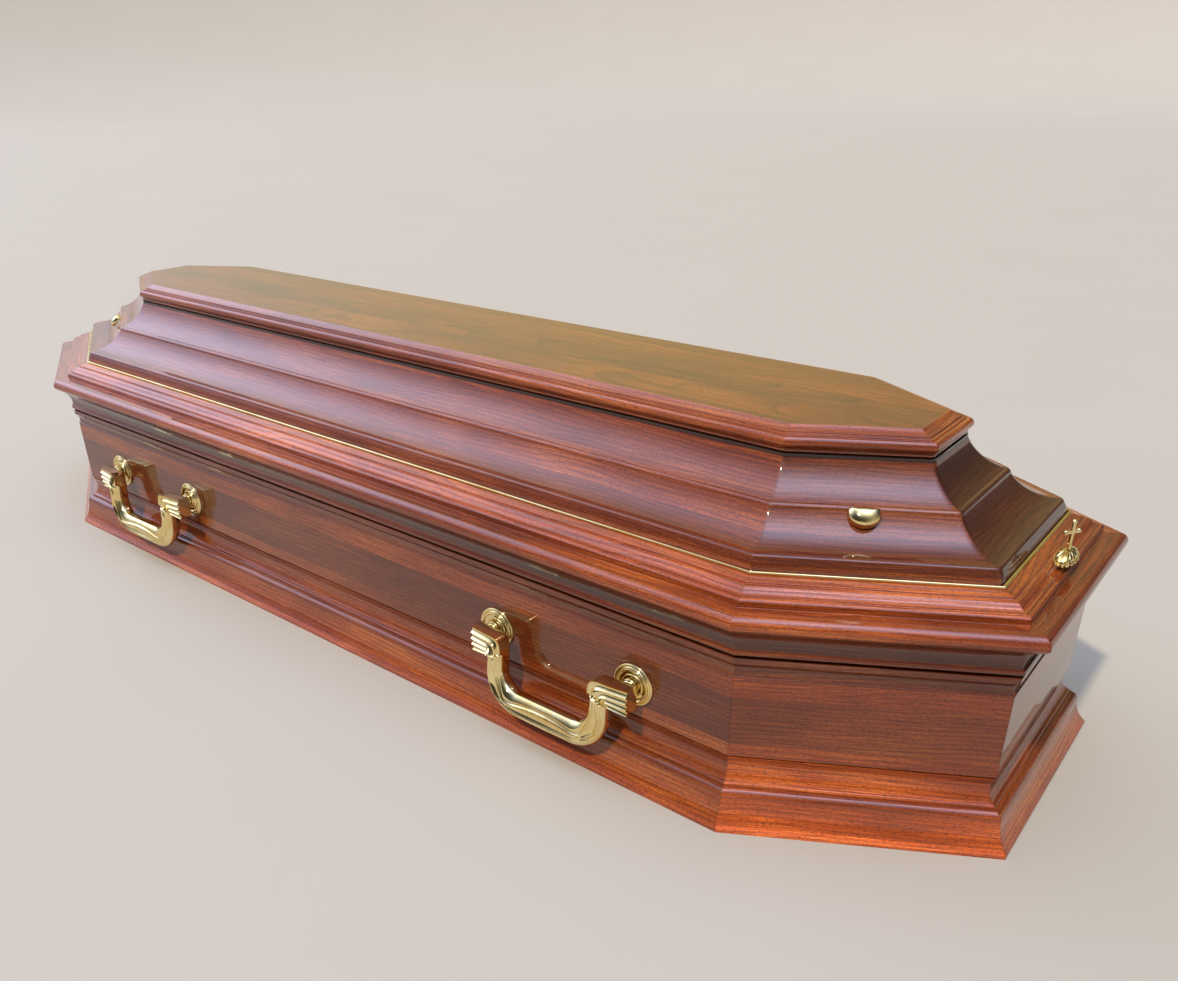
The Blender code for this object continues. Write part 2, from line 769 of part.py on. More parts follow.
def turned_mesh(name, profile, sides, collection):
    """Mesh of a profile of (radius, height) points turned about the Z axis.

    The profile runs from the top of the axis to the bottom of the axis.
    """
    body = bmesh.new()
    verts = [body.verts.new((radius, 0.0, height)) for radius, height in profile]
    for first, second in zip(verts, verts[1:]):
        body.edges.new((first, second))
    mesh = bpy.data.meshes.new(name)
    body.to_mesh(mesh)
    body.free()
    turned = bpy.data.objects.new(name, mesh)
    collection.objects.link(turned)
    screw = turned.modifiers.new("turn", "SCREW")
    screw.steps = sides
    screw.render_steps = sides
    screw.use_merge_vertices = True
    screw.merge_threshold = 0.00001
    bpy.context.view_layer.update()
    depsgraph = bpy.context.evaluated_depsgraph_get()
    result = bpy.data.meshes.new_from_object(turned.evaluated_get(depsgraph))
    result.name = name
    bpy.data.objects.remove(turned, do_unlink=True)
    body = bmesh.new()
    body.from_mesh(result)
    bmesh.ops.recalc_face_normals(body, faces=body.faces)
    body.to_mesh(result)
    body.free()
    return result


def smooth_mesh(mesh, angle_degrees):
    """Smooth shading with sharp edges past an angle."""
    mesh.shade_smooth()
    mesh.set_sharp_from_angle(angle=math.radians(angle_degrees))


def rosette_mesh(cutters):
    """Mesh of a stepped and dished rosette, turned about an axis that points outwards."""
    profile = [
        (0.0, ROSETTE_BOSS_HEIGHT),
        (ROSETTE_BOSS_RADIUS, ROSETTE_BOSS_HEIGHT),
        (ROSETTE_DISH_RADIUS, ROSETTE_DISH_HEIGHT),
        (ROSETTE_WAIST_RADIUS, ROSETTE_RING_HEIGHT),
        (ROSETTE_RADIUS, ROSETTE_RIM),
        (ROSETTE_RADIUS, 0.0),
        (0.0, 0.0),
    ]
    mesh = turned_mesh("rosette", profile, ROSETTE_SIDES, cutters)
    mesh.transform(Matrix.Rotation(math.pi / 2, 4, "X"))
    smooth_mesh(mesh, 30)
    return mesh


def build_handles(material, collection, cutters):
    """Four handles, each with two rosettes behind it, on the two long sides."""
    handle = handle_mesh(cutters)
    smooth_mesh(handle, 35)
    rosette = rosette_mesh(cutters)
    for side_name in LONG_SIDES:
        index = SIDE_NAMES.index(side_name)
        along = side_direction(index)
        inward = side_inward(index)
        middle = side_middle(index, WALL_INSET)
        turn = math.atan2(along.y, along.x)
        ends = ("foot", "head") if along.x > 0 else ("head", "foot")
        for end_name, place in zip(ends, (-HANDLE_SPREAD / 2, HANDLE_SPREAD / 2)):
            centre = middle + along * place - inward * JOINT_GAP
            location = (centre.x, centre.y, HANDLE_HEIGHT)
            handle_object = add_object(f"handle_{side_name}_{end_name}", handle, material, collection)
            handle_object.location = location
            handle_object.rotation_euler.z = turn
            for number, offset in ((1, -POST_SPACING / 2), (2, POST_SPACING / 2)):
                name = f"rosette_{side_name}_{end_name}_{number}"
                rosette_object = add_object(name, rosette, material, collection)
                spot = centre + along * offset
                rosette_object.location = (spot.x, spot.y, HANDLE_HEIGHT - BAIL_END_DROP / 2)
                rosette_object.rotation_euler.z = turn


def shield_outline():
    """Outline of a shield boss: a straight top edge and sides that meet in a point."""
    half = SHIELD_WIDTH / 2
    top_left = (-half, 0.0)
    point = (0.0, -SHIELD_HEIGHT)
    left = [top_left] + arc(top_left, point, -SHIELD_SWELL, SHIELD_ARC_STEPS)
    right = [(-x, y) for x, y in reversed(left[:-1])]
    return left + right


def shield_mesh():
    """Mesh of a shield boss with a raised crown, lying in its XY plane."""
    outline = shield_outline()
    body = bmesh.new()
    base = body.faces.new([body.verts.new((x, y, 0.0)) for x, y in outline])
    raised = bmesh.ops.extrude_face_region(body, geom=[base])
    top_verts = [item for item in raised["geom"] if isinstance(item, bmesh.types.BMVert)]
    bmesh.ops.translate(body, verts=top_verts, vec=(0.0, 0.0, SHIELD_EDGE))
    top_face = [item for item in raised["geom"] if isinstance(item, bmesh.types.BMFace)]
    bmesh.ops.inset_region(body, faces=top_face, thickness=SHIELD_BEVEL, depth=SHIELD_CROWN * 0.7)
    crown = bmesh.ops.poke(body, faces=top_face)
    crown["verts"][0].co.z = SHIELD_EDGE + SHIELD_CROWN
    bmesh.ops.recalc_face_normals(body, faces=body.faces)
    mesh = bpy.data.meshes.new("shield_boss")
    body.to_mesh(mesh)
    body.free()
    smooth_mesh(mesh, 50)
    return mesh


def shield_seat():
    """Two points that a shield boss bridges: the top of the lower cove and a rest below."""
    top = Vector(SLOPE_FACE[COVE_END])
    for point in reversed(SLOPE_FACE[: COVE_END + 1]):
        rest = Vector(point)
        if (top - rest).length >= SHIELD_HEIGHT:
            break
    return top, rest


def build_shields(material, collection):
    """A shield boss in the middle of each of the four corner slopes, under the arris."""
    mesh = shield_mesh()
    top, rest = shield_seat()
    rise = (top - rest).normalized()
    outwards = Vector((-rise.y, rise.x))
    proud = max((Vector(point) - top).dot(outwards) for point in SLOPE_FACE[COVE_END:])
    seat = top + rise * SHIELD_OVERLAP + outwards * (proud + JOINT_GAP)
    for side_name in CORNER_SIDES:
        index = SIDE_NAMES.index(side_name)
        inward = side_inward(index)
        along = side_direction(index)
        middle = side_middle(index, seat.x)
        up_axis = Vector((inward.x * rise.x, inward.y * rise.x, rise.y))
        out_axis = Vector((inward.x * outwards.x, inward.y * outwards.x, outwards.y))
        frame = Matrix.Identity(4)
        frame.col[0].xyz = along.to_3d()
        frame.col[1].xyz = up_axis
        frame.col[2].xyz = out_axis
        frame.col[3].xyz = (middle.x, middle.y, seat.y)
        shield = add_object(f"shield_boss_{side_name}", mesh, material, collection)
        shield.matrix_world = frame


def surface_height(face, inset):
    """Greatest height of a moulding's face from its start up to an inset."""
    greatest = face[0][1]
    for (depth, height), (next_depth, next_height) in zip(face, face[1:]):
        if next_depth <= inset:
            greatest = max(greatest, next_height)
        elif depth < inset:
            share = (inset - depth) / (next_depth - depth)
            greatest = max(greatest, height + (next_height - height) * share)
    return greatest


def screw_mesh(stem, cutters):
    """Mesh of the lid screw's stem and its long domed base, with the base's rim at zero."""
    brim = SCREW_BASE_WIDTH / 2
    dome = brim - SCREW_BASE_BRIM
    profile = [(0.0, SCREW_BASE_RIM + SCREW_DOME_HEIGHT)]
    profile += [
        (
            dome * math.sin(math.radians(angle)),
            SCREW_BASE_RIM + SCREW_DOME_HEIGHT * math.cos(math.radians(angle)),
        )
        for angle in (25, 50, 72, 90)
    ]
    profile += [
        (brim, SCREW_BASE_RIM),
        (brim, 0.0),
        (SCREW_STEM_RADIUS, 0.0),
        (SCREW_STEM_RADIUS, -stem),
        (0.0, -stem),
    ]
    mesh = turned_mesh("lid_screw", profile, SCREW_SIDES, cutters)
    mesh.transform(Matrix.Diagonal((1.0, SCREW_BASE_LENGTH / SCREW_BASE_WIDTH, 1.0, 1.0)))
    smooth_mesh(mesh, 40)
    return mesh


def build_lid_screw(material, collection, cutters):
    """Lid screw at the head end: a stem, a domed base and an upright cross."""
    face = rim_face()
    seat = surface_height(face, SCREW_INSET + SCREW_STEM_RADIUS) + SCREW_CLEARANCE
    base_bottom = surface_height(face, SCREW_INSET + SCREW_BASE_WIDTH / 2) + SCREW_CLEARANCE
    place = side_middle(SIDE_NAMES.index("head"), SCREW_INSET)
    mesh = screw_mesh(base_bottom - seat, cutters)
    screw = add_object("lid_screw_cross", mesh, material, collection)
    screw.location = (place.x, place.y, base_bottom)
    foot = base_bottom + SCREW_BASE_RIM + SCREW_DOME_HEIGHT - CROSS_BAR
    turn = math.radians(CROSS_TURN)
    arm = Matrix.Rotation(turn, 3, "Z") @ Vector((0.0, CROSS_SPAN / 2, 0.0))
    arm_centre = Vector((place.x, place.y, foot + CROSS_ARM_HEIGHT))
    upright_centre = Vector((place.x, place.y, foot + CROSS_HEIGHT / 2))
    upright_top = Vector((place.x, place.y, foot + CROSS_HEIGHT))
    bars = [
        ((CROSS_THICKNESS, CROSS_BAR, CROSS_HEIGHT), upright_centre),
        ((CROSS_THICKNESS * 0.9, CROSS_SPAN, CROSS_BAR), arm_centre),
    ]
    for size, location in bars:
        bpy.ops.mesh.primitive_cube_add(size=1.0, location=location, rotation=(0.0, 0.0, turn))
        bar = bpy.context.object
        bar.scale = size
        join_to(screw, bar, cutters)
    for location in (upright_top, arm_centre - arm, arm_centre + arm):
        bpy.ops.mesh.primitive_ico_sphere_add(
            subdivisions=1, radius=CROSS_BUD_RADIUS, location=location
        )
        join_to(screw, bpy.context.object, cutters)


def join_to(body_object, piece, cutters):
    """Join a piece to an object with a Boolean union, and keep the piece as a guide."""
    piece.name = f"{body_object.name}_guide"
    piece.display_type = "WIRE"
    piece.hide_render = True
    move_to_collection(piece, cutters)
    join = body_object.modifiers.new("join", "BOOLEAN")
    join.operation = "UNION"
    join.solver = "EXACT"
    join.object = piece


def build_coffin():
    """Build every piece of the coffin."""
    clear_scene()
    coffin = new_collection("wooden_coffin")
    cutters = new_collection("coffin_guides")
    stained = make_material("stained_wood", (0.19, 0.045, 0.02), 0.22, 0.0)
    plain = make_material("plain_board", (0.24, 0.09, 0.04), 0.45, 0.0)
    brass = make_material("polished_brass", (0.83, 0.62, 0.25), 0.15, 1.0)
    build_bottom_board(plain, coffin)
    moulded_ring("base_moulding", base_profile(), stained, coffin)
    moulded_ring("wall", wall_profile(), stained, coffin)
    moulded_ring("cornice", cornice_profile(), stained, coffin)
    moulded_ring("lid_rim", rim_profile(), stained, coffin)
    build_metal_strip(brass, coffin)
    moulded_ring("lid_slope", slope_profile(), stained, coffin)
    build_top_plate(stained, coffin)
    build_handles(brass, coffin, cutters)
    build_shields(brass, coffin)
    build_lid_screw(brass, coffin, cutters)


build_coffin()
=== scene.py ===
"""Dresses an eight-sided wooden coffin: lacquered mouldings, coved lid and polished brass fittings.

Units are metres, +Z is up, the head end is at +X and the left side at -Y. Every moulding is a
section of (inset, height) points that runs along a side: the inset is the distance inwards
from the foot of the base moulding.
"""

import sys

import logging
import math
from dataclasses import dataclass, field, replace
from enum import Enum
from typing import Any, Callable, Iterable, Optional

import bmesh
import bpy
from mathutils import Matrix, Vector


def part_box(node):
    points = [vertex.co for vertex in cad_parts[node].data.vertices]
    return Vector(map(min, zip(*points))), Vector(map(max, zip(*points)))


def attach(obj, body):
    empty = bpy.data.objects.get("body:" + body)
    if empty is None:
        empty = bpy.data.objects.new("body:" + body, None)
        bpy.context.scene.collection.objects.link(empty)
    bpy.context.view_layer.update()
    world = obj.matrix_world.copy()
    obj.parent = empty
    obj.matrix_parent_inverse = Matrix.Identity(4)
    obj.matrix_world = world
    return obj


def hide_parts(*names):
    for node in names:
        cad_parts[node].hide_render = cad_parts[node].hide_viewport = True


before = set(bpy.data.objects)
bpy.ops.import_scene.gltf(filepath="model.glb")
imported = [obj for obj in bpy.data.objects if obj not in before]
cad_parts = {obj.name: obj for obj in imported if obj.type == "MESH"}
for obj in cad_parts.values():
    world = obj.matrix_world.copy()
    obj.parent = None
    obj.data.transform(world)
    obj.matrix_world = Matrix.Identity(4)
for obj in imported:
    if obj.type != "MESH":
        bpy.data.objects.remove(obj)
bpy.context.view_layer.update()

log = logging.getLogger("coffin")

Point = tuple[float, float]
Place = tuple[float, float, float]

PHOTO_WIDTH = 1178
PHOTO_HEIGHT = 981
MARKS = "board_place"
# Name of the attribute with each point's stain tone and its painted light and shade.
STAIN_AND_SHADE = "board_stain_and_shade"

# Air that is left at a mitre, and between a fitting or a board and what carries it.
MITRE_GAP = 0.00006
FIT_GAP = 0.0003
# Points that lie closer than this are one: of a drawn outline, and of a turned piece.
DRAWN_SLACK = 1e-6
LATHE_SLACK = 0.00002
# Boards start this far apart in the wood's own space, which tells them apart, and each
# moulding takes its eight from one of so many stretches of it, by its name.
BOARD_SPACING = 10.0
SIDE_COUNT = 8
MOULDING_KINDS = 13
# Spacing of the rings that Blender's wave texture draws at a scale of 1.
WAVE_SPACING_MM = 314.0


class Slot(Enum):
    """Material slots of the record for the rebuilt pieces; settle is given one and does not use it.
    """

    WOOD = "stained_wood"
    BRASS = "polished_brass"


class Coords(Enum):
    """Where a wood material finds its place on the board."""

    MARKED = "the board's own marks"
    TURNED = "the object's place, turned to the board"


def linear(hex_colour: str, alpha: float = 1.0) -> tuple[float, float, float, float]:
    """Turn an sRGB hex colour into linear light.

    Args:
        hex_colour: Colour as #rrggbb.
        alpha: Opacity that goes with it.

    Returns:
        Red, green, blue and alpha.
    """
    channels = [int(hex_colour[start : start + 2], 16) / 255 for start in (1, 3, 5)]
    red, green, blue = (
        value / 12.92 if value <= 0.04045 else ((value + 0.055) / 1.055) ** 2.4
        for value in channels
    )
    return (red, green, blue, alpha)


# ---------------------------------------------------------------- plan of the coffin


@dataclass(frozen=True)
class Side:
    """One of the eight sides of the plan, from its first corner to its second."""

    name: str
    start: Vector
    end: Vector
    turn_in: float
    turn_out: float

    @property
    def along(self) -> Vector:
        """Unit vector from the first corner to the second."""
        return (self.end - self.start).normalized()

    @property
    def inward(self) -> Vector:
        """Unit vector into the box."""
        return Vector((-self.along.y, self.along.x))

    @property
    def length(self) -> float:
        """Length of the side at the foot of the base."""
        return (self.end - self.start).length

    @property
    def heading(self) -> float:
        """Direction of the side in the plan, in radians from +X."""
        return math.atan2(self.along.y, self.along.x)

    @property
    def frame(self) -> Matrix:
        """Matrix from the side's own frame: X along, Y inwards, Z up."""
        turn = Matrix.Rotation(self.heading, 4, "Z")
        return Matrix.Translation(self.start.to_3d()) @ turn


@dataclass(frozen=True)
class Plan:
    """The eight-sided plan, counter-clockwise from the foot end's left corner."""

    length: float = 2.05
    shoulder_width: float = 0.664
    ankle_width: float = 0.652
    head_end_width: float = 0.336
    foot_end_width: float = 0.332
    shoulder_run: float = 0.288
    ankle_run: float = 0.282
    names: tuple[str, ...] = (
        "foot_left",
        "left",
        "head_left",
        "head",
        "head_right",
        "right",
        "foot_right",
        "foot",
    )

    @property
    def corners(self) -> list[Vector]:
        """Corners of the foot of the base moulding.

        Returns:
            Eight corners, counter-clockwise.
        """
        half = [
            (-self.length / 2, self.foot_end_width / 2),
            (-self.length / 2 + self.ankle_run, self.ankle_width / 2),
            (self.length / 2 - self.shoulder_run, self.shoulder_width / 2),
            (self.length / 2, self.head_end_width / 2),
        ]
        return [Vector((x, -y)) for x, y in half] + [Vector((x, y)) for x, y in reversed(half)]

    @property
    def sides(self) -> list[Side]:
        """All eight sides, with the turn of the outline at both ends of each.

        Returns:
            The sides, in the order of their names.
        """
        corners = self.corners
        count = len(corners)
        ways = [(corners[(n + 1) % count] - corners[n]).normalized() for n in range(count)]
        turns = [ways[n - 1].angle(ways[n]) for n in range(count)]
        return [
            Side(name, corners[n], corners[(n + 1) % count], turns[n], turns[(n + 1) % count])
            for n, name in enumerate(self.names)
        ]

    def side(self, name: str) -> Side:
        """The side of that name."""
        return next(side for side in self.sides if side.name == name)

    def inset_corners(self, inset: float) -> list[Vector]:
        """Corners of the outline that runs at an inset.

        Args:
            inset: Distance inwards from the foot of the base moulding.

        Returns:
            Eight corners, in the same order as the plan's.
        """
        sides = self.sides
        found = []
        for number, side in enumerate(sides):
            bisector = (sides[number - 1].inward + side.inward).normalized()
            found.append(side.start + bisector * (inset / bisector.dot(side.inward)))
        return found

    def middle(self, name: str, inset: float) -> Vector:
        """Middle of a side at an inset.

        Args:
            name: Name of the side.
            inset: Distance inwards from the foot of the base moulding.

        Returns:
            A point of the plan.
        """
        number = self.names.index(name)
        corners = self.inset_corners(inset)
        return (corners[number] + corners[(number + 1) % len(corners)]) / 2


# ---------------------------------------------------------------- drawing and bench work


@dataclass
class Section:
    """A moulding's outline as (inset, height) points, drawn from its foot up."""

    points: list[Point] = field(default_factory=list)

    @property
    def last(self) -> Point:
        """The point drawn last."""
        return self.points[-1]

    def to(self, inset: float, height: float) -> "Section":
        """Draw a straight line to a point."""
        self.points.append((inset, height))
        return self

    def by(self, run: float, rise: float) -> "Section":
        """Draw a straight line of a run inwards and a rise."""
        return self.to(self.last[0] + run, self.last[1] + rise)

    def bow(self, run: float, rise: float, bulge: float, steps: int = 10) -> "Section":
        """Draw a circular arc.

        Args:
            run: How far inwards its end lies.
            rise: How far up its end lies.
            bulge: Height of the arc over its chord, to the left of the way if positive.
            steps: Number of straight pieces it is drawn with.

        Returns:
            The section itself.
        """
        first = Vector(self.last)
        end = first + Vector((run, rise))
        half = (end - first).length / 2
        radius = (half * half + bulge * bulge) / (2 * abs(bulge))
        across = Vector((-rise, run)).normalized() * math.copysign(1.0, bulge)
        centre = (first + end) / 2 - across * (radius - abs(bulge))
        sweep = -math.copysign(2 * math.asin(min(1.0, half / radius)), bulge)
        for step in range(1, steps + 1):
            spoke = first - centre
            spoke.rotate(Matrix.Rotation(sweep * step / steps, 2))
            self.points.append(tuple(centre + spoke))
        return self

    def eased(
        self, radius: float, steps: int = 3, turns: Point = (24.0, 175.0), most: float = 0.45
    ) -> "Section":
        """Round the sharp corners, as sanding and lacquer leave them.

        Args:
            radius: Radius of the rounding, less where the lines beside it are short.
            steps: Number of straight pieces in each rounding.
            turns: Corners that turn by fewer or by more degrees stay as they are.
            most: Share of a line's length that a rounding at one end may take.

        Returns:
            A new section with the same two ends.
        """
        made = [self.points[0]]
        for before, here, after in zip(self.points, self.points[1:], self.points[2:]):
            back = Vector(before) - Vector(here)
            on = Vector(after) - Vector(here)
            turn = math.pi - back.angle(on, 0.0)
            if math.degrees(turn) < turns[0] or turn > math.radians(turns[1]):
                made.append(here)
                continue
            reach = min(radius * math.tan(turn / 2), most * back.length, most * on.length)
            first = Vector(here) + back.normalized() * reach
            final = Vector(here) + on.normalized() * reach
            for step in range(steps + 1):
                share = step / steps
                mixed = first.lerp(Vector(here), share).lerp(Vector(here).lerp(final, share), share)
                made.append(tuple(mixed))
        made.append(self.points[-1])
        return Section(made)


class Bench:
    """Bench work on one piece at a time, with Blender's own tools."""

    @staticmethod
    def lay_down_all() -> None:
        """Leave edit mode and deselect everything."""
        if bpy.context.object and bpy.context.object.mode != "OBJECT":
            bpy.ops.object.mode_set(mode="OBJECT")
        bpy.ops.object.select_all(action="DESELECT")

    @staticmethod
    def pick_up(piece: bpy.types.Object) -> None:
        """Make one piece the only selected and active one.

        Args:
            piece: The piece.
        """
        Bench.lay_down_all()
        piece.select_set(True)
        bpy.context.view_layer.objects.active = piece

    @staticmethod
    def into_mesh(piece: bpy.types.Object) -> None:
        """Open a piece for edit-mode work, with all of it selected.

        Args:
            piece: The piece.
        """
        Bench.pick_up(piece)
        bpy.ops.object.mode_set(mode="EDIT")
        bpy.ops.mesh.select_mode(type="VERT")
        bpy.ops.mesh.select_all(action="SELECT")

    @staticmethod
    def select(piece: bpy.types.Object, wanted: Callable[[Vector], bool]) -> None:
        """Select the vertices of the open piece whose place is wanted.

        Args:
            piece: The piece that is open in edit mode.
            wanted: Says for a place whether its vertex is selected.
        """
        body = bmesh.from_edit_mesh(piece.data)
        for item in (*body.faces, *body.edges, *body.verts):
            item.select = False
        for vert in body.verts:
            vert.select = wanted(vert.co)
        body.select_flush(True)
        bmesh.update_edit_mesh(piece.data)

    @staticmethod
    def drawn(name: str, outline: Iterable[Place]) -> bpy.types.Object:
        """Draw a closed outline point by point, and fill it.

        Args:
            name: Name of the new piece.
            outline: Corners of the outline, in order.

        Returns:
            A piece with one face.
        """
        corners = [Vector(corner) for corner in outline]
        start = 0.001
        Bench.lay_down_all()
        bpy.ops.mesh.primitive_plane_add(
            size=2 * start, location=corners[0] + Vector((start, start, 0.0))
        )
        piece = bpy.context.object
        piece.name = name
        bpy.ops.object.transform_apply(location=True, rotation=True, scale=True)
        Bench.into_mesh(piece)
        Bench.select(piece, lambda place: (place - corners[0]).length > start / 2)
        bpy.ops.mesh.delete(type="VERT")
        bpy.ops.mesh.select_all(action="SELECT")
        for before, after in zip(corners, corners[1:]):
            bpy.ops.mesh.extrude_region_move(TRANSFORM_OT_translate={"value": after - before})
        ends = (corners[0], corners[-1])
        Bench.select(piece, lambda place: min((place - e).length for e in ends) < DRAWN_SLACK)
        bpy.ops.mesh.edge_face_add()
        bpy.ops.mesh.select_all(action="SELECT")
        bpy.ops.mesh.edge_face_add()
        return piece

    @staticmethod
    def lengthen(way: Place) -> None:
        """Extrude the open piece's drawn face, and turn the faces outwards.

        Args:
            way: How far the far end goes.
        """
        bpy.ops.mesh.select_all(action="SELECT")
        bpy.ops.mesh.extrude_region_move(TRANSFORM_OT_translate={"value": way})
        bpy.ops.mesh.select_all(action="SELECT")
        bpy.ops.mesh.normals_make_consistent(inside=False)
        bpy.ops.object.mode_set(mode="OBJECT")

    @staticmethod
    def turned(name: str, profile: list[Point], steps: int) -> bpy.types.Object:
        """Turn a profile on the lathe, about the axis that points out of the wall.

        Args:
            name: Name of the new piece.
            profile: Points as (radius, distance out of the wall).
            steps: Number of flat pieces round the axis.

        Returns:
            A round piece that faces -Y, open in edit mode.
        """
        piece = Bench.drawn(name, [(radius, -out, 0.0) for radius, out in profile])
        bpy.ops.mesh.delete(type="ONLY_FACE")
        bpy.ops.mesh.select_all(action="SELECT")
        bpy.ops.mesh.spin(
            steps=steps, angle=math.tau, center=(0.0, 0.0, 0.0), axis=(0.0, 1.0, 0.0)
        )
        bpy.ops.mesh.select_all(action="SELECT")
        bpy.ops.mesh.remove_doubles(threshold=LATHE_SLACK)
        bpy.ops.mesh.normals_make_consistent(inside=False)
        return piece

    @staticmethod
    def copy(piece: bpy.types.Object, name: str, place: Matrix) -> bpy.types.Object:
        """Copy a piece with its own mesh, put it in place and apply the place to the mesh.

        Args:
            piece: The piece to copy.
            name: Name of the copy.
            place: Where the copy goes.

        Returns:
            The copy, with its object at the origin.
        """
        made = piece.copy()
        made.data = piece.data.copy()
        made.name = name
        bpy.context.scene.collection.objects.link(made)
        made.matrix_world = place
        Bench.pick_up(made)
        bpy.ops.object.transform_apply(location=True, rotation=True, scale=True)
        return made

    @staticmethod
    def saw(point: Vector, facing: Vector, off: bool) -> None:
        """Cut through the open piece.

        Args:
            point: A point of the cut.
            facing: Which way the cut's plane faces.
            off: Whether what lies in front of the plane falls away and the cut is closed.
        """
        bpy.ops.mesh.select_all(action="SELECT")
        bpy.ops.mesh.bisect(
            plane_co=point, plane_no=facing, use_fill=off, clear_outer=off, threshold=1e-7
        )

    @staticmethod
    def smooth(piece: bpy.types.Object, degrees: float = 33.0) -> None:
        """Shade smooth up to an angle, with flat faces kept flat by their size.

        Args:
            piece: The finished piece.
            degrees: Edges that turn by more stay sharp.
        """
        Bench.pick_up(piece)
        bpy.ops.object.shade_smooth_by_angle(angle=math.radians(degrees))
        weighted = piece.modifiers.new("flat_faces_lead", "WEIGHTED_NORMAL")
        weighted.keep_sharp = True
        weighted.weight = 60
        bpy.ops.object.modifier_apply(modifier=weighted.name)

    @staticmethod
    def join(name: str, pieces: list[bpy.types.Object]) -> bpy.types.Object:
        """Join finished pieces into one.

        Args:
            name: Name of the joined piece.
            pieces: What goes into it.

        Returns:
            The joined piece.
        """
        Bench.pick_up(pieces[0])
        for piece in pieces:
            piece.select_set(True)
        bpy.ops.object.join()
        joined = bpy.context.object
        joined.name = name
        joined.data.name = name
        return joined

    @staticmethod
    def scrap(piece: bpy.types.Object) -> None:
        """Throw away a pattern piece."""
        bpy.data.objects.remove(piece, do_unlink=True)


def mark_wood(
    piece: bpy.types.Object, own: Matrix, start: float, stain: Callable[[float], float]
) -> None:
    """Write each point's place on its board and its stain with painted light and shade, so that
    grain follows the board.

    Args:
        piece: The board.
        own: Matrix from the scene into the board's own frame.
        start: Where the board starts in the wood's own space, so that no two look alike.
        stain: How light the board is coloured at a height: its stain, with painted light and shade.
    """
    piece.data.attributes.new(MARKS, "FLOAT_VECTOR", "POINT")
    piece.data.attributes.new(STAIN_AND_SHADE, "FLOAT", "POINT")
    marks, stains = (piece.data.attributes[kind].data for kind in (MARKS, STAIN_AND_SHADE))
    for vert, mark, taken in zip(piece.data.vertices, marks, stains):
        place = own @ vert.co
        mark.vector = (place.x + start, place.y, place.z)
        taken.value = stain(place.z)


def settle(piece: bpy.types.Object, material: bpy.types.Material, slot: Slot, *nodes: str) -> None:
    """Dress a finished piece and put it in its nodes' place.

    Args:
        piece: The finished piece.
        material: Its finish.
        slot: Not used.
        nodes: CAD nodes that it stands for.
    """
    piece.data.materials.clear()
    piece.data.materials.append(material)
    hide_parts(*nodes)
    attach(piece, "root")
    log.info("%s: %d faces", piece.name, len(piece.data.polygons))


# ---------------------------------------------------------------- finishes


class NodeBoard:
    """A node tree, of a material or of the room's light, wired one node at a time."""

    def __init__(self, owner: Any) -> None:
        """Start with the owner's tree, emptied.

        Args:
            owner: The material or world that the tree belongs to.
        """
        self.owner = owner
        owner.use_nodes = True
        self.tree = owner.node_tree
        self.tree.nodes.clear()

    def add(self, kind: str, wires: Optional[dict[Any, Any]] = None, **settings: Any) -> Any:
        """Add a node.

        Args:
            kind: Blender's name of the node, without ShaderNode.
            wires: What goes into each input, by name or number: a node, whose first output
                is meant, a socket or a value.
            settings: The node's own settings.

        Returns:
            The new node.
        """
        made = self.tree.nodes.new(f"ShaderNode{kind}")
        for name, value in settings.items():
            setattr(made, name, value)
        for name, value in (wires or {}).items():
            if isinstance(value, bpy.types.Node):
                value = value.outputs[0]
            if isinstance(value, bpy.types.NodeSocket):
                self.tree.links.new(value, made.inputs[name])
            else:
                made.inputs[name].default_value = value
        made.location = (220 * (len(self.tree.nodes) % 12), -260 * (len(self.tree.nodes) // 12))
        return made


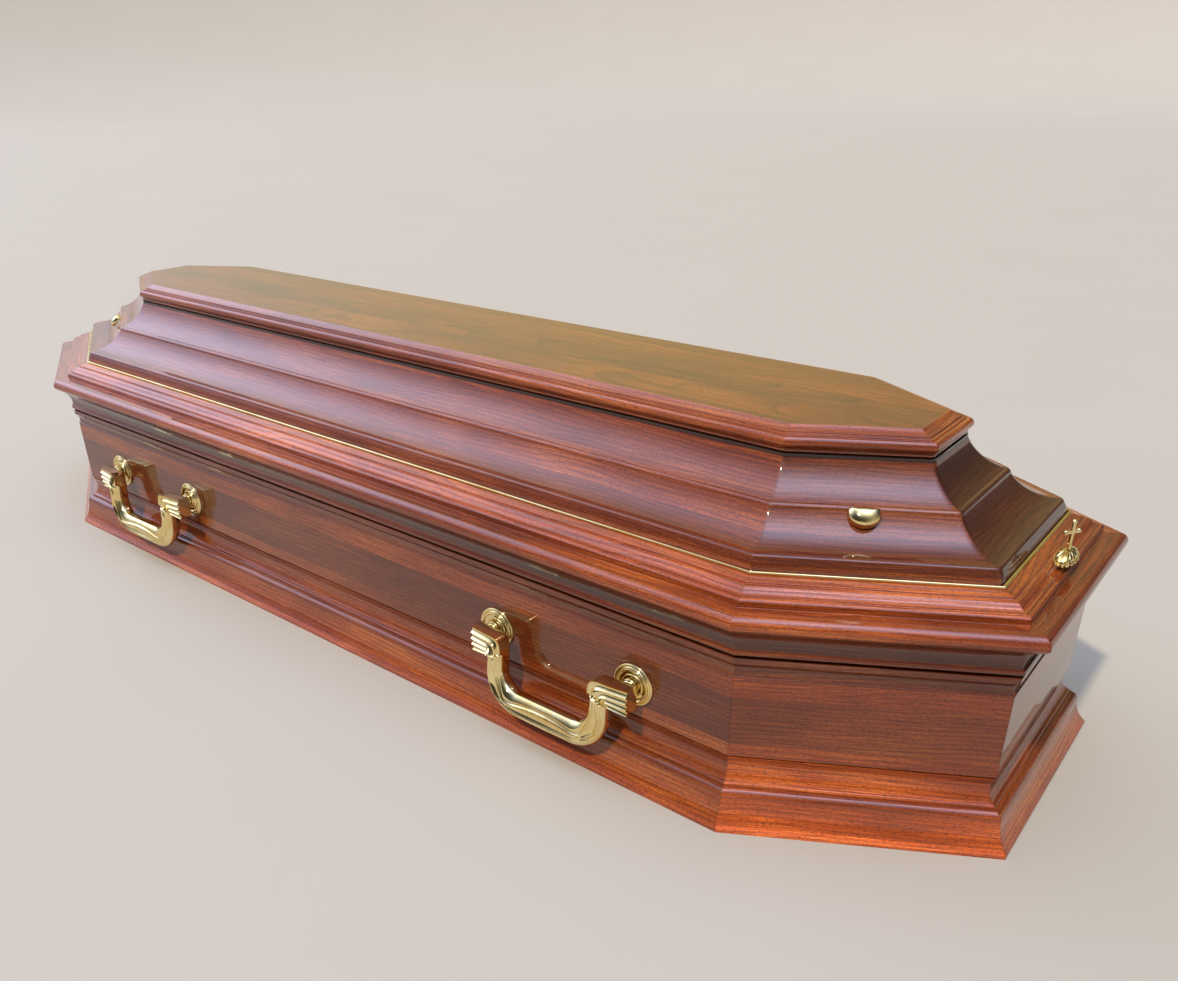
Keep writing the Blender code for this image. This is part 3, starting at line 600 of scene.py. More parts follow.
@dataclass(frozen=True)
class StainedBeech:
    """Solid steamed beech, stained to mahogany and finished with a thick polyester lacquer.

    The stain sits in the wood's rays and pores, so the eye sees dense short dark flecks over
    soft straight grain. The boards are glued up of strips, each with its own tone and its
    own cut of the growth rings. The lacquer over them is flat and mirror-bright.
    """

    dark: str = "#4a1d08"
    middle: str = "#7e350f"
    light: str = "#b2601f"
    fleck: str = "#2a0c04"
    # How light a board is coloured where it has no marks, painted light and shade included, and how
    # much its strips differ.
    tone: float = 1.0
    strip_contrast: float = 0.2
    # Shares of the streaks and clouds at which the dark and the light stain are reached.
    stain_edges: Point = (0.30, 0.72)
    ring_spacing_mm: float = 6.0
    ring_depth: float = 0.72
    ring_sharpness: float = 3.5
    # How far streaks and rings stray from a straight line, in metres.
    streak_sway: float = 0.012
    ring_sway: float = 0.05
    streak_size_mm: Point = (80.0, 1.3)
    # Real flecks are 0.2 mm wide, too fine to show here, so they are drawn coarser.
    fleck_size_mm: Point = (4.0, 0.65)
    fleck_depth: float = 0.85
    fleck_edges: Point = (0.53, 0.70)
    # Width of a strip, where the first one starts, and how far apart in the tree they grew.
    strip_mm: float = 64.0
    strip_from_mm: float = 141.0
    strip_shift: Place = (7.0, 0.16, 0.12)
    lacquer_weight: float = 1.0
    lacquer_roughness: float = 0.035

    def find_place(
        self, board: NodeBoard, coords: Coords, turn: float, start: Place
    ) -> tuple[Any, Any]:
        """Find a point's place on its board, and how light the board is coloured, painted light and
        shade included.

        Args:
            board: Where the nodes go.
            coords: Whether the board carries marks, or its object's place is turned to it.
            turn: Direction of the board in the plan, in radians.
            start: Where the board starts.

        Returns:
            The place and the tone, each as a socket or a value.
        """
        if coords is Coords.MARKED:
            place = board.add("Attribute", attribute_name=MARKS).outputs["Vector"]
            return place, board.add("Attribute", attribute_name=STAIN_AND_SHADE).outputs["Fac"]
        back = Matrix.Rotation(-turn, 4, "Z") @ (-Vector(start))
        seen = board.add("TexCoord").outputs["Object"]
        wires = {"Vector": seen, "Location": back, "Rotation": (0.0, 0.0, -turn)}
        return board.add("Mapping", wires).outputs["Vector"], self.tone

    def draw_figure(self, board: NodeBoard, place: Any) -> dict[str, Any]:
        """Draw the strips, rings, streaks, flecks and clouds of the wood.

        Args:
            board: Where the nodes go.
            place: A point's place on its board.

        Returns:
            Each pattern's node, by name.
        """
        parts = board.add("SeparateXYZ", {0: place})
        across = board.add("Math", {0: parts.outputs["Y"], 1: parts.outputs["Z"]})
        first = self.strip_from_mm / 1000
        reach = {"From Min": first, "From Max": first + self.strip_mm / 1000}
        steps = board.add("MapRange", {"Value": across, **reach}, clamp=False)
        number = board.add("Math", {0: steps}, operation="FLOOR")
        boards = {0: parts.outputs["X"], 1: 1 / BOARD_SPACING}
        counted = board.add("Math", boards, operation="MULTIPLY")
        which = board.add("Math", {0: counted}, operation="FLOOR")
        seed = board.add("CombineXYZ", {0: number, 1: which, 2: 0.37})
        strip = board.add("TexWhiteNoise", {"Vector": seed})
        cut = {0: strip.outputs["Color"], 1: self.strip_shift, 2: place}
        own = board.add("VectorMath", cut, operation="MULTIPLY_ADD")
        turn = board.add("Math", {0: number, 1: 1.0}, operation="PINGPONG")
        made = {"chance": strip, "turn": turn}
        streak, fleck = (
            (1000 / length, 1000 / width, 1000 / width)
            for length, width in (self.streak_size_mm, self.fleck_size_mm)
        )
        grown = own
        # Each pattern's fineness along, across and up, in features per metre, and its detail.
        for name, scale, detail in (
            ("sway", (2.6, 6.0, 6.0), 2.0),
            ("streak", streak, 3.0),
            ("fleck", fleck, 1.0),
            ("cloud", (3.5, 11.0, 11.0), 3.0),
        ):
            spread = board.add("VectorMath", {0: grown, 1: scale}, operation="MULTIPLY")
            made[name] = board.add("TexNoise", {"Vector": spread, "Scale": 1.0, "Detail": detail})
            if name == "sway":
                reach = (0.0, self.streak_sway, self.streak_sway)
                bend = {0: made[name].outputs["Color"], 1: reach, 2: own}
                grown = board.add("VectorMath", bend, operation="MULTIPLY_ADD")
        reach = (0.0, self.ring_sway, self.ring_sway)
        bend = {0: made["sway"].outputs["Color"], 1: reach, 2: own}
        trunk = board.add("VectorMath", bend, operation="MULTIPLY_ADD")
        made["ring"] = board.add(
            "TexWave",
            {
                "Vector": trunk,
                "Scale": WAVE_SPACING_MM / self.ring_spacing_mm,
                "Distortion": 0.8,
                "Detail": 2.0,
                "Detail Scale": 0.7,
            },
            wave_type="RINGS",
            rings_direction="X",
            wave_profile="SAW",
        )
        return made

    def stain_wood(self, board: NodeBoard, figure: dict[str, Any], tone: Any) -> Any:
        """Colour the figure as the stain does.

        Args:
            board: Where the nodes go.
            figure: Each pattern's node, by name.
            tone: How light the board is coloured, painted light and shade included.

        Returns:
            The node of the colour.
        """
        shade = board.add(
            "Mix", {0: 0.5, 2: figure["streak"], 3: figure["cloud"]}, data_type="FLOAT"
        )
        colour = board.add("ValToRGB", {"Fac": shade})
        ramp = colour.color_ramp.elements
        for stop, edge, stain in zip(ramp, self.stain_edges, (self.dark, self.light)):
            stop.position, stop.color = edge, linear(stain)
        ramp.new(0.5).color = linear(self.middle)
        rings = {0: figure["ring"].outputs["Fac"], 1: self.ring_sharpness}
        late = board.add("Math", rings, operation="POWER")
        before = colour.outputs["Color"]
        for pattern, (low, high), depth, stain in (
            (late, (0.0, 1.0), self.ring_depth, self.dark),
            (figure["fleck"], self.fleck_edges, self.fleck_depth, self.fleck),
        ):
            edges = {"From Min": low, "From Max": high, "To Max": depth}
            share = board.add("MapRange", {"Value": pattern, **edges})
            wires = {0: share, 6: before, 7: linear(stain)}
            before = board.add("Mix", wires, data_type="RGBA").outputs[2]
        half = self.strip_contrast / 2
        spread = {"To Min": 1 - half, "To Max": 1 + half}
        alternate = board.add("MapRange", {"Value": figure["turn"], **spread})
        spread = {"To Min": -half / 2, "To Max": half / 2}
        own = board.add("MapRange", {"Value": figure["chance"], **spread})
        strip_tone = board.add("Math", {0: alternate, 1: own})
        depth = board.add("Math", {0: strip_tone, 1: tone}, operation="MULTIPLY")
        return board.add("VectorMath", {0: before, "Scale": depth}, operation="SCALE")

    def material(
        self, name: str, coords: Coords, turn: float = 0.0, start: Place = (0.0, 0.0, 0.0)
    ) -> bpy.types.Material:
        """Wire the finish.

        Args:
            name: Name of the material.
            coords: Whether the board carries marks, or its object's place is turned to it.
            turn: Direction of the board in the plan, in radians.
            start: Where the board starts.

        Returns:
            The finished material.
        """
        board = NodeBoard(bpy.data.materials.new(name))
        place, tone = self.find_place(board, coords, turn, start)
        figure = self.draw_figure(board, place)
        wood = self.stain_wood(board, figure, tone)
        dull = board.add("MapRange", {"Value": figure["streak"], "To Min": 0.52, "To Max": 0.36})
        grain = {0: figure["streak"], 1: figure["fleck"]}
        relief = board.add("Math", grain, operation="SUBTRACT")
        pores = board.add("Bump", {"Height": relief, "Strength": 0.25, "Distance": 0.0003})
        # The lacquer flows out to a faint ripple, a few centimetres from crest to crest.
        spread = board.add("VectorMath", {0: place, 1: (14.0, 30.0, 30.0)}, operation="MULTIPLY")
        ripple = board.add("TexNoise", {"Vector": spread, "Scale": 1.0, "Detail": 1.0})
        flow = board.add("Bump", {"Height": ripple, "Strength": 0.07, "Distance": 0.002})
        shader = board.add(
            "BsdfPrincipled",
            {
                "Base Color": wood,
                "Roughness": dull,
                "Specular IOR Level": 0.15,
                "IOR": 1.5,
                "Normal": pores,
                "Coat Weight": self.lacquer_weight,
                "Coat Roughness": self.lacquer_roughness,
                "Coat IOR": 1.54,
                "Coat Normal": flow,
            },
        )
        board.add("OutputMaterial", {"Surface": shader})
        return board.owner


@dataclass(frozen=True)
class PlainBoard:
    """Planed softwood board with one thin coat of stain, as the underside is left.

    It is matt, paler than the outside, and its growth rings show as broad soft lines.
    """

    dark: str = "#5d3420"
    light: str = "#96633f"
    ring_spacing_mm: float = 9.0

    def material(self, name: str) -> bpy.types.Material:
        """Wire the finish.

        Args:
            name: Name of the material.

        Returns:
            The finished material.
        """
        board = NodeBoard(bpy.data.materials.new(name))
        seen = board.add("TexCoord").outputs["Object"]
        stretched = board.add(
            "Mapping", {"Vector": seen, "Location": (0.0, 0.31, 0.2), "Scale": (0.07, 1.0, 1.0)}
        )
        rings = board.add(
            "TexWave",
            {
                "Vector": stretched,
                "Scale": WAVE_SPACING_MM / self.ring_spacing_mm,
                "Distortion": 3.0,
                "Detail": 3.0,
                "Detail Scale": 0.5,
            },
            wave_type="RINGS",
            rings_direction="X",
        ).outputs["Fac"]
        fine = board.add("Mapping", {"Vector": seen, "Scale": (9.0, 420.0, 420.0)})
        streak = board.add("TexNoise", {"Vector": fine, "Scale": 1.0, "Detail": 3.0})
        share = board.add("Mix", {0: 0.45, 2: rings, 3: streak}, data_type="FLOAT")
        colour = board.add("ValToRGB", {"Fac": share})
        colour.color_ramp.elements[0].position = 0.2
        colour.color_ramp.elements[0].color = linear(self.dark)
        colour.color_ramp.elements[1].position = 0.8
        colour.color_ramp.elements[1].color = linear(self.light)
        bump = board.add("Bump", {"Height": share, "Strength": 0.4, "Distance": 0.0005})
        dull = board.add("MapRange", {"Value": share, "To Min": 0.7, "To Max": 0.52})
        shader = board.add(
            "BsdfPrincipled",
            {"Base Color": colour.outputs["Color"], "Roughness": dull, "Normal": bump},
        )
        board.add("OutputMaterial", {"Surface": shader})
        return board.owner


@dataclass(frozen=True)
class PolishedBrass:
    """Zinc casting with a bright brass plating, buffed and thinly lacquered.

    It mirrors the room in warm yellow, with faint swirls of the buffing wheel and slightly
    deeper patches where the plating is thicker.
    """

    bright: str = "#f1e0a8"
    deep: str = "#e2c47a"
    swirl_mm: float = 30.0
    roughness: float = 0.06

    def material(self, name: str) -> bpy.types.Material:
        """Wire the finish.

        Args:
            name: Name of the material.

        Returns:
            The finished material.
        """
        board = NodeBoard(bpy.data.materials.new(name))
        seen = board.add("TexCoord").outputs["Object"]
        patches = board.add(
            "TexNoise", {"Vector": seen, "Scale": 1000 / self.swirl_mm, "Detail": 3.0}
        )
        colour = board.add("ValToRGB", {"Fac": patches})
        colour.color_ramp.elements[0].position = 0.3
        colour.color_ramp.elements[0].color = linear(self.deep)
        colour.color_ramp.elements[1].position = 0.65
        colour.color_ramp.elements[1].color = linear(self.bright)
        haze = board.add("TexNoise", {"Vector": seen, "Scale": 1000.0, "Detail": 2.0})
        dull = board.add(
            "MapRange",
            {"Value": haze, "To Min": self.roughness * 0.6, "To Max": self.roughness * 1.6},
        )
        bump = board.add("Bump", {"Height": patches, "Strength": 0.10, "Distance": 0.0006})
        shader = board.add(
            "BsdfPrincipled",
            {
                "Base Color": colour.outputs["Color"],
                "Metallic": 1.0,
                "Roughness": dull,
                "Normal": bump,
            },
        )
        board.add("OutputMaterial", {"Surface": shader})
        return board.owner


@dataclass(frozen=True)
class PaleFloor:
    """Matt off-white studio floor, painted, with hardly visible unevenness."""

    colour: str = "#a49c8d"
    shade: str = "#a09889"

    def material(self, name: str) -> bpy.types.Material:
        """Wire the finish.

        Args:
            name: Name of the material.

        Returns:
            The finished material.
        """
        board = NodeBoard(bpy.data.materials.new(name))
        seen = board.add("TexCoord").outputs["Object"]
        cloud = board.add("TexNoise", {"Vector": seen, "Scale": 1.5, "Detail": 2.0})
        colour = board.add(
            "Mix", {0: cloud, 6: linear(self.shade), 7: linear(self.colour)}, data_type="RGBA"
        ).outputs[2]
        shader = board.add("BsdfPrincipled", {"Base Color": colour, "Roughness": 0.7})
        board.add("OutputMaterial", {"Surface": shader})
        return board.owner


# ---------------------------------------------------------------- mouldings


@dataclass
class Moulding:
    """A section carried round all eight sides, mitred and softly rounded at the corners."""

    prefix: str
    section: Section
    plan: Plan
    corner_radius: float = 0.003
    corner_steps: int = 3
    smooth_degrees: float = 33.0
    # How light each side's board is coloured, and how that changes with height: its tone, with
    # painted light and shade on some sides and bands.
    tones: dict[str, float] = field(default_factory=dict)
    shade: Callable[[float], float] = lambda height: 1.0

    def lengths(self) -> list[tuple[Side, bpy.types.Object]]:
        """Make the eight lengths.

        Returns:
            Each side with its length of moulding.
        """
        sides = self.plan.sides
        outline = [(0.0, inset, height) for inset, height in self.section.points]
        pattern = Bench.drawn(f"{self.prefix}_pattern", outline)
        Bench.lengthen((max(side.length for side in sides), 0.0, 0.0))
        made = []
        for number, side in enumerate(sides):
            piece = Bench.copy(pattern, f"{self.prefix}_{side.name}", side.frame)
            before = sides[number - 1].along
            after = sides[(number + 1) % len(sides)].along
            self.mitre(piece, side, side.start, -(before + side.along).normalized(), side.turn_in)
            self.mitre(piece, side, side.end, (after + side.along).normalized(), side.turn_out)
            bpy.ops.object.mode_set(mode="OBJECT")
            self.mark(piece, side, number)
            Bench.smooth(piece, self.smooth_degrees)
            made.append((side, piece))
        Bench.scrap(pattern)
        return made

    def mitre(
        self, piece: bpy.types.Object, side: Side, corner: Vector, facing: Vector, turn: float
    ) -> None:
        """Saw an end to its mitre, and round it over towards its neighbour.

        Args:
            piece: The length of moulding.
            side: The side that it runs along.
            corner: The plan's corner at this end.
            facing: Way that the mitre faces, out of the piece.
            turn: Angle by which the outline turns at the corner.
        """
        Bench.into_mesh(piece)
        point = corner.to_3d()
        outwards = facing.to_3d()
        way = side.along if facing.dot(side.along) > 0 else -side.along
        tangent = self.corner_radius * math.tan(turn / 2)
        steps = self.corner_steps
        Bench.saw(point - outwards * MITRE_GAP, outwards, True)
        for step in range(steps):
            back = way * (tangent * (1 - step / steps))
            Bench.saw(point - back.to_3d(), outwards, False)
        for step in range(1, steps + 1):
            angle = turn / 2 * step / steps
            level = -(way * (tangent * (1 - step / steps))).to_3d().dot(outwards)
            slide = way * (self.corner_radius * math.sin(angle) - tangent * step / steps)
            sink = side.inward * (self.corner_radius * (1 - math.cos(angle)))
            slack = MITRE_GAP * 1.5
            Bench.select(
                piece, lambda place: abs((place - point).dot(outwards) - level) < slack
            )
            bpy.ops.transform.translate(value=(slide + sink).to_3d())

    def mark(self, piece: bpy.types.Object, side: Side, number: int) -> None:
        """Mark the wood of one length.

        Args:
            piece: The length of moulding.
            side: The side that it runs along.
            number: Which of the eight it is, so that no two of them show the same wood.
        """
        kind = sum(map(ord, self.prefix)) % MOULDING_KINDS
        start = BOARD_SPACING * (number + SIDE_COUNT * kind) + 1.0
        tone = self.tones.get(side.name, 1.0)
        # The stain attribute holds the side's tone times its painted light and shade by height.
        mark_wood(piece, side.frame.inverted(), start, lambda height: tone * self.shade(height))


@dataclass
class BaseMoulding:
    """Moulding at the foot of the box: cove, rounded shoulder, bead, scotia and groove."""

    plan: Plan
    wood: bpy.types.Material
    height: float = 0.0895
    back: float = 0.055
    face: float = 0.033
    # Painted light: the head-left side is coloured much lighter than the rest, as if in brighter
    # light; the left side is coloured darker.
    tone: float = 0.95
    left_tone: float = 0.82
    head_left_tone: float = 1.6
    # Painted light: the cove at the foot is coloured lighter than the scotia above it, as if it
    # caught more light.
    cove_top: float = 0.042
    painted_cove_light: float = 1.6

    def section(self) -> Section:
        """Draw the section.

        Returns:
            The closed outline, but for its last line.
        """
        # Foot, cove and rounded shoulder, then a step, the bead and a step.
        drawn = Section([(0.0, 0.0)]).by(0.0, 0.004)
        drawn.bow(0.0153, 0.0355, -0.0035, 14).bow(0.0077, 0.0105, 0.0022, 10)
        drawn.by(0.0035, 0.0).bow(0.002, 0.0045, 0.0012, 8).by(0.0025, 0.0)
        # Scotia up to the wall's face, and the groove.
        run = self.face + FIT_GAP - drawn.last[0]
        rise = self.height - 0.0025 - drawn.last[1]
        drawn.bow(run, rise, -0.0055, 16).by(0.0032, 0.0).by(0.0, 0.0025)
        eased = drawn.eased(0.0009)
        return eased.to(self.back, self.height).to(self.back, 0.0)

    def build(self) -> None:
        """Make, dress and place the eight lengths."""
        tones = dict.fromkeys(self.plan.names, self.tone)
        tones |= {"left": self.left_tone, "head_left": self.head_left_tone}
        lengths = Moulding("plinth", self.section(), self.plan, tones=tones)
        # Painted light: the cove at the foot is coloured lighter than the scotia above it.
        lengths.shade = lambda height: self.painted_cove_light if height < self.cove_top else 1.0
        for side, piece in lengths.lengths():
            settle(piece, self.wood, Slot.WOOD, f"base_moulding_{side.name}")


@dataclass
class Walls:
    """The eight wall boards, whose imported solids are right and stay."""

    plan: Plan
    finish: StainedBeech
    strip_contrast: float = 0.5
    # Where the first board starts in the wood's own space.
    wood_from: float = 1001.0
    # Partly painted light and shade: the head-left board is coloured lighter and the left one
    # darker than the rest.
    tone: float = 0.85
    left_tone: float = 0.75
    head_left_tone: float = 0.98

    def dress(self) -> None:
        """Give each board its own wood, with the grain along it."""
        tones = {"left": self.left_tone, "head_left": self.head_left_tone}
        for number, side in enumerate(self.plan.sides):
            back = side.along.to_3d() * (BOARD_SPACING * number + self.wood_from)
            start = side.start.to_3d() - back
            tone = tones.get(side.name, self.tone)
            finish = replace(self.finish, tone=tone, strip_contrast=self.strip_contrast)
            wood = finish.material(
                f"stained_beech_wall_{side.name}", Coords.TURNED, side.heading, tuple(start)
            )
            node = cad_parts[f"wall_{side.name}"]
            node.data.materials.clear()
            node.data.materials.append(wood)
            log.info("wall_%s: dressed", side.name)


@dataclass
class Cornice:
    """Small cove on the wall, under the parting line."""

    plan: Plan
    wood: bpy.types.Material
    bottom: float = 0.1991
    height: float = 0.0266
    face: float = 0.033
    back: float = 0.055
    reach: float = 0.0035
    tone: float = 0.55

    def section(self) -> Section:
        """Draw the section.

        Returns:
            The closed outline, but for its last line.
        """
        drawn = Section([(self.face, self.bottom)]).by(0.0, 0.0021).by(0.002, 0.0)
        drawn.bow(-(self.reach + 0.002), 0.018, -0.0028, 12)
        drawn.to(drawn.last[0], self.bottom + self.height).by(0.006, 0.0)
        eased = drawn.eased(0.0008)
        return eased.to(self.back, self.bottom + self.height).to(self.back, self.bottom)

    def build(self) -> None:
        """Make, dress and place the eight lengths."""
        tones = dict.fromkeys(self.plan.names, self.tone)
        coves = Moulding("cornice_cove", self.section(), self.plan, tones=tones)
        for side, piece in coves.lengths():
            settle(piece, self.wood, Slot.WOOD, f"cornice_{side.name}")


@dataclass
class LidRim:
    """Rim of the lid: shadow line, bead, large cove, rounded edge, flange and stepped ogee."""

    plan: Plan
    wood: bpy.types.Material
    bottom: float = 0.226
    face: float = 0.0295
    back: float = 0.055
    seam_depth: float = 0.0075
    seam_height: float = 0.0042
    seam_slack: float = 0.0002
    bead_height: float = 0.0102
    shelf: float = 0.0278
    shelf_thickness: float = 0.0235
    tone: float = 1.3
    # Painted shade: the head end's rim is coloured a little darker.
    head_tone: float = 0.9
    # Painted shade: the cove under the rounded edge is coloured darker, and the seam, where no
    # light reaches, darker still.
    edge_height: float = 0.048
    painted_cove_shade: float = 0.5
    painted_seam_shade: float = 0.1

    def drawn_face(self) -> Section:
        """Draw the visible face, from the parting line up to the metal strip's seat.

        Returns:
            The open line of the face.
        """
        drawn = Section([(self.face + self.seam_depth, self.bottom)]).by(0.0, self.seam_height)
        drawn.to(self.face, drawn.last[1])
        # Bead, large cove and its lip.
        drawn.bow(-0.001, self.bead_height - self.seam_height, 0.0016, 10).by(0.0025, 0.0)
        drawn.bow(-0.0215, 0.0345, -0.0065, 20).by(-0.0035, 0.004).by(0.0, 0.0024)
        # Rounded edge, flange and step.
        drawn.bow(0.0095, 0.0114, 0.003, 14).by(0.0181, 0.0007).by(0.0, 0.0075)
        drawn.by(0.002, 0.002).by(0.0045, 0.0).by(0.0, 0.002)
        # Ogee, and the sloping band up to the strip.
        drawn.bow(0.00775, 0.003, -0.0011, 8).bow(0.00775, 0.003, 0.0011, 8)
        return drawn.by(0.002, 0.0).by(0.0, 0.002).by(0.0125, 0.0026)

    @property
    def seat(self) -> Point:
        """Where the metal strip sits."""
        return self.drawn_face().last

    def section(self) -> Section:
        """Draw the whole section, with the shelf that carries the slopes.

        Returns:
            The closed outline, but for its last line.
        """
        inset, height = self.seat
        inner = inset + self.shelf
        eased = self.drawn_face().by(0.004, 0.0).eased(0.0008)
        eased.to(inner, height).to(inner, height - self.shelf_thickness)
        return eased.to(self.back, height - self.shelf_thickness).to(self.back, self.bottom)

    def build(self) -> None:
        """Make, dress and place the eight lengths."""
        tones = dict.fromkeys(self.plan.names, self.tone) | {"head": self.head_tone}
        edge = self.bottom + self.edge_height
        mouldings = Moulding("rim_moulding", self.section(), self.plan, tones=tones)
        seam = self.bottom + self.seam_height + self.seam_slack
        # Painted shade: the cove under the rounded edge is coloured darker, the seam darker still.
        mouldings.shade = lambda height: (
            1.0 if height > edge else self.painted_cove_shade if height > seam else self.painted_seam_shade
        )
        for side, piece in mouldings.lengths():
            settle(piece, self.wood, Slot.WOOD, f"lid_rim_{side.name}")


@dataclass
class MetalStrip:
    """Thin bright strip bent round the foot of the lid's slopes."""

    plan: Plan
    brass: bpy.types.Material
    seat: Point
    width: float = 0.0036
    height: float = 0.0034
    rounding: float = 0.0013
    corner_radius: float = 0.002

    def section(self) -> Section:
        """Draw the section.

        Returns:
            The closed outline, but for its last line.
        """
        outer = self.seat[0]
        bottom = self.seat[1] + FIT_GAP
        drawn = Section([(outer, bottom)]).by(0.0, self.height - self.rounding)
        drawn.bow(self.rounding, self.rounding, self.rounding * 0.29, 5)
        return drawn.to(outer + self.width, bottom + self.height).to(outer + self.width, bottom)

    def build(self) -> None:
        """Make the strip of eight lengths in one piece, and dress it."""
        lengths = Moulding("strip", self.section(), self.plan, self.corner_radius).lengths()
        strip = Bench.join("metal_strip", [piece for _, piece in lengths])
        settle(strip, self.brass, Slot.BRASS, "lid_metal_strip")


@dataclass
class LidSlope:
    """Sloping boards of the lid: steep fillet, lower cove, arris roll and upper cove."""

    plan: Plan
    wood: bpy.types.Material
    foot: Point
    inner: float
    board: float = 0.016
    top_width: float = 0.02
    corner_radius: float = 0.012
    corner_steps: int = 5
    tone: float = 0.86
    # Painted shade: the head end's boards are coloured far darker, as if in shadow; the head-left
    # ones are coloured darker too.
    head_left_tone: float = 0.62
    head_tone: float = 0.32
    # Painted shade: the sharp corner under the top plate is coloured dark.
    neck_height: float = 0.0031
    painted_neck_shade: float = 0.12

    def drawn_face(self) -> tuple[Section, Point]:
        """Draw the visible face.

        Returns:
            The face, and the point where the lower cove ends.
        """
        # Steep fillet, quirk and lower cove, then the arris roll, upper cove and neck.
        drawn = Section([self.foot]).bow(0.0055, 0.0165, 0.0009, 6)
        drawn.bow(0.0042, 0.003, 0.0011, 8).bow(0.056, 0.032, -0.008, 24)
        arris = drawn.last
        drawn.bow(0.007, 0.0055, 0.0022, 10).bow(0.0435, 0.0395, -0.006, 22)
        return drawn.by(0.0, 0.0028), arris

    def section(self) -> Section:
        """Draw the whole section, hollowed behind to an even thickness.

        Returns:
            The closed outline, but for its last line.
        """
        face, arris = self.drawn_face()
        eased = face.eased(0.0006)
        # The back follows the face at the board's thickness, with a bend behind the arris.
        eased.by(self.top_width, 0.0).by(0.0, -self.board)
        eased.to(arris[0] + 0.007 + self.board, arris[1] - self.board / 2)
        eased.to(arris[0] + self.board * 0.8, arris[1] - self.board * 1.2)
        return eased.to(self.inner, self.foot[1])

    @property
    def top(self) -> Point:
        """Upper end of the visible face."""
        return self.drawn_face()[0].last

    def build(self) -> None:
        """Make, dress and place the eight boards."""
        tones = dict.fromkeys(self.plan.names, self.tone)
        tones |= {"head_left": self.head_left_tone, "head": self.head_tone}
        rounding = (self.corner_radius, self.corner_steps)
        boards = Moulding("slope_board", self.section(), self.plan, *rounding, tones=tones)
        neck = self.top[1] - self.neck_height
        # Painted shade: the corner under the top plate is coloured dark.
        boards.shade = lambda height: 1.0 if height < neck else self.painted_neck_shade
        for side, piece in boards.lengths():
            settle(piece, self.wood, Slot.WOOD, f"lid_slope_{side.name}")


@dataclass
class TopPlate:
    """Flat board on top of the lid, with a moulded lipping on all eight sides."""

    plan: Plan
    wood: bpy.types.Material
    neck: Point
    throat: float = 0.007
    overhang: float = 0.0055
    thickness: float = 0.02
    corner_radius: float = 0.004
    field_tone: float = 0.75
    # Where the field starts in the wood's own space, and how far in the lipping meets it.
    field_from: float = 401.0
    overlap: float = 0.004

    def drawn_edge(self) -> Section:
        """Draw the lipping's visible face, from the underside to the flat top.

        Returns:
            The open line of the face.
        """
        drawn = Section([(self.neck[0] + self.throat, self.neck[1] + FIT_GAP)]).by(0.0, 0.0018)
        drawn.to(self.neck[0] - self.overhang + self.throat, drawn.last[1])
        # Fillet and nose, two fine steps, and the slope up to the flat.
        drawn.bow(-0.0017, 0.0062, -0.0008, 5).by(-0.0018, 0.0009).bow(0.003, 0.0104, 0.0024, 12)
        for _ in range(2):
            drawn.by(0.0045, 0.0).by(0.0, 0.0021)
        return drawn.bow(0.0125, 0.005, -0.0006, 8)

    def build(self) -> None:
        """Make the lipping and the flat field, join them and dress the plate."""
        edge = self.drawn_edge()
        inset, top = edge.last
        section = edge.by(self.overlap, 0.0).eased(0.0007).by(0.0, -self.thickness)
        section.to(section.points[0][0] + self.overlap, section.points[0][1])
        lipping = Moulding("lipping", section, self.plan, self.corner_radius).lengths()
        corners = self.plan.inset_corners(inset + self.overlap)
        low = top - self.thickness
        field_board = Bench.drawn("plate_field", [(c.x, c.y, low) for c in corners])
        Bench.lengthen((0.0, 0.0, self.thickness))
        mark_wood(field_board, Matrix(), self.field_from, lambda height: self.field_tone)
        pieces = [field_board] + [piece for _, piece in lipping]
        settle(Bench.join("lid_top_plate", pieces), self.wood, Slot.WOOD, "top_plate")


# ---------------------------------------------------------------- fittings


@dataclass
class Rosette:
    """Round stepped rosette, turned on a lathe, behind a handle's post."""

    radius: float = 0.029
    steps: int = 72

    def profile(self) -> list[Point]:
        """Draw the face, from the rim to the middle.

        Returns:
            Points as (radius, distance out of the wall).
        """
        # Rim, outer ring, hollow, inner ring and the raised middle.
        drawn = Section([(self.radius, 0.0)]).by(0.0, 0.0018).bow(-0.0034, 0.0012, -0.0012, 8)
        drawn.by(-0.0006, -0.0006).bow(-0.0015, 0.0031, 0.0006, 6)
        drawn.bow(-0.0022, 0.0, -0.0008, 6).bow(-0.0052, -0.0022, 0.0009, 8)
        drawn.by(-0.0006, 0.0009).bow(-0.0022, 0.0, -0.0007, 6).by(-0.0004, -0.0006)
        drawn.bow(-0.0009, 0.0042, 0.0005, 6).by(-0.0014, 0.0007)
        return drawn.to(0.0, drawn.last[1]).points

    def pattern(self) -> bpy.types.Object:
        """Turn the profile about the axis that points out of the wall.

        Returns:
            A rosette that stands on its origin and faces -Y.
        """
        piece = Bench.turned("rosette_pattern", [*self.profile(), (0.0, 0.0)], self.steps)
        bpy.ops.object.mode_set(mode="OBJECT")
        Bench.smooth(piece, 40)
        return piece


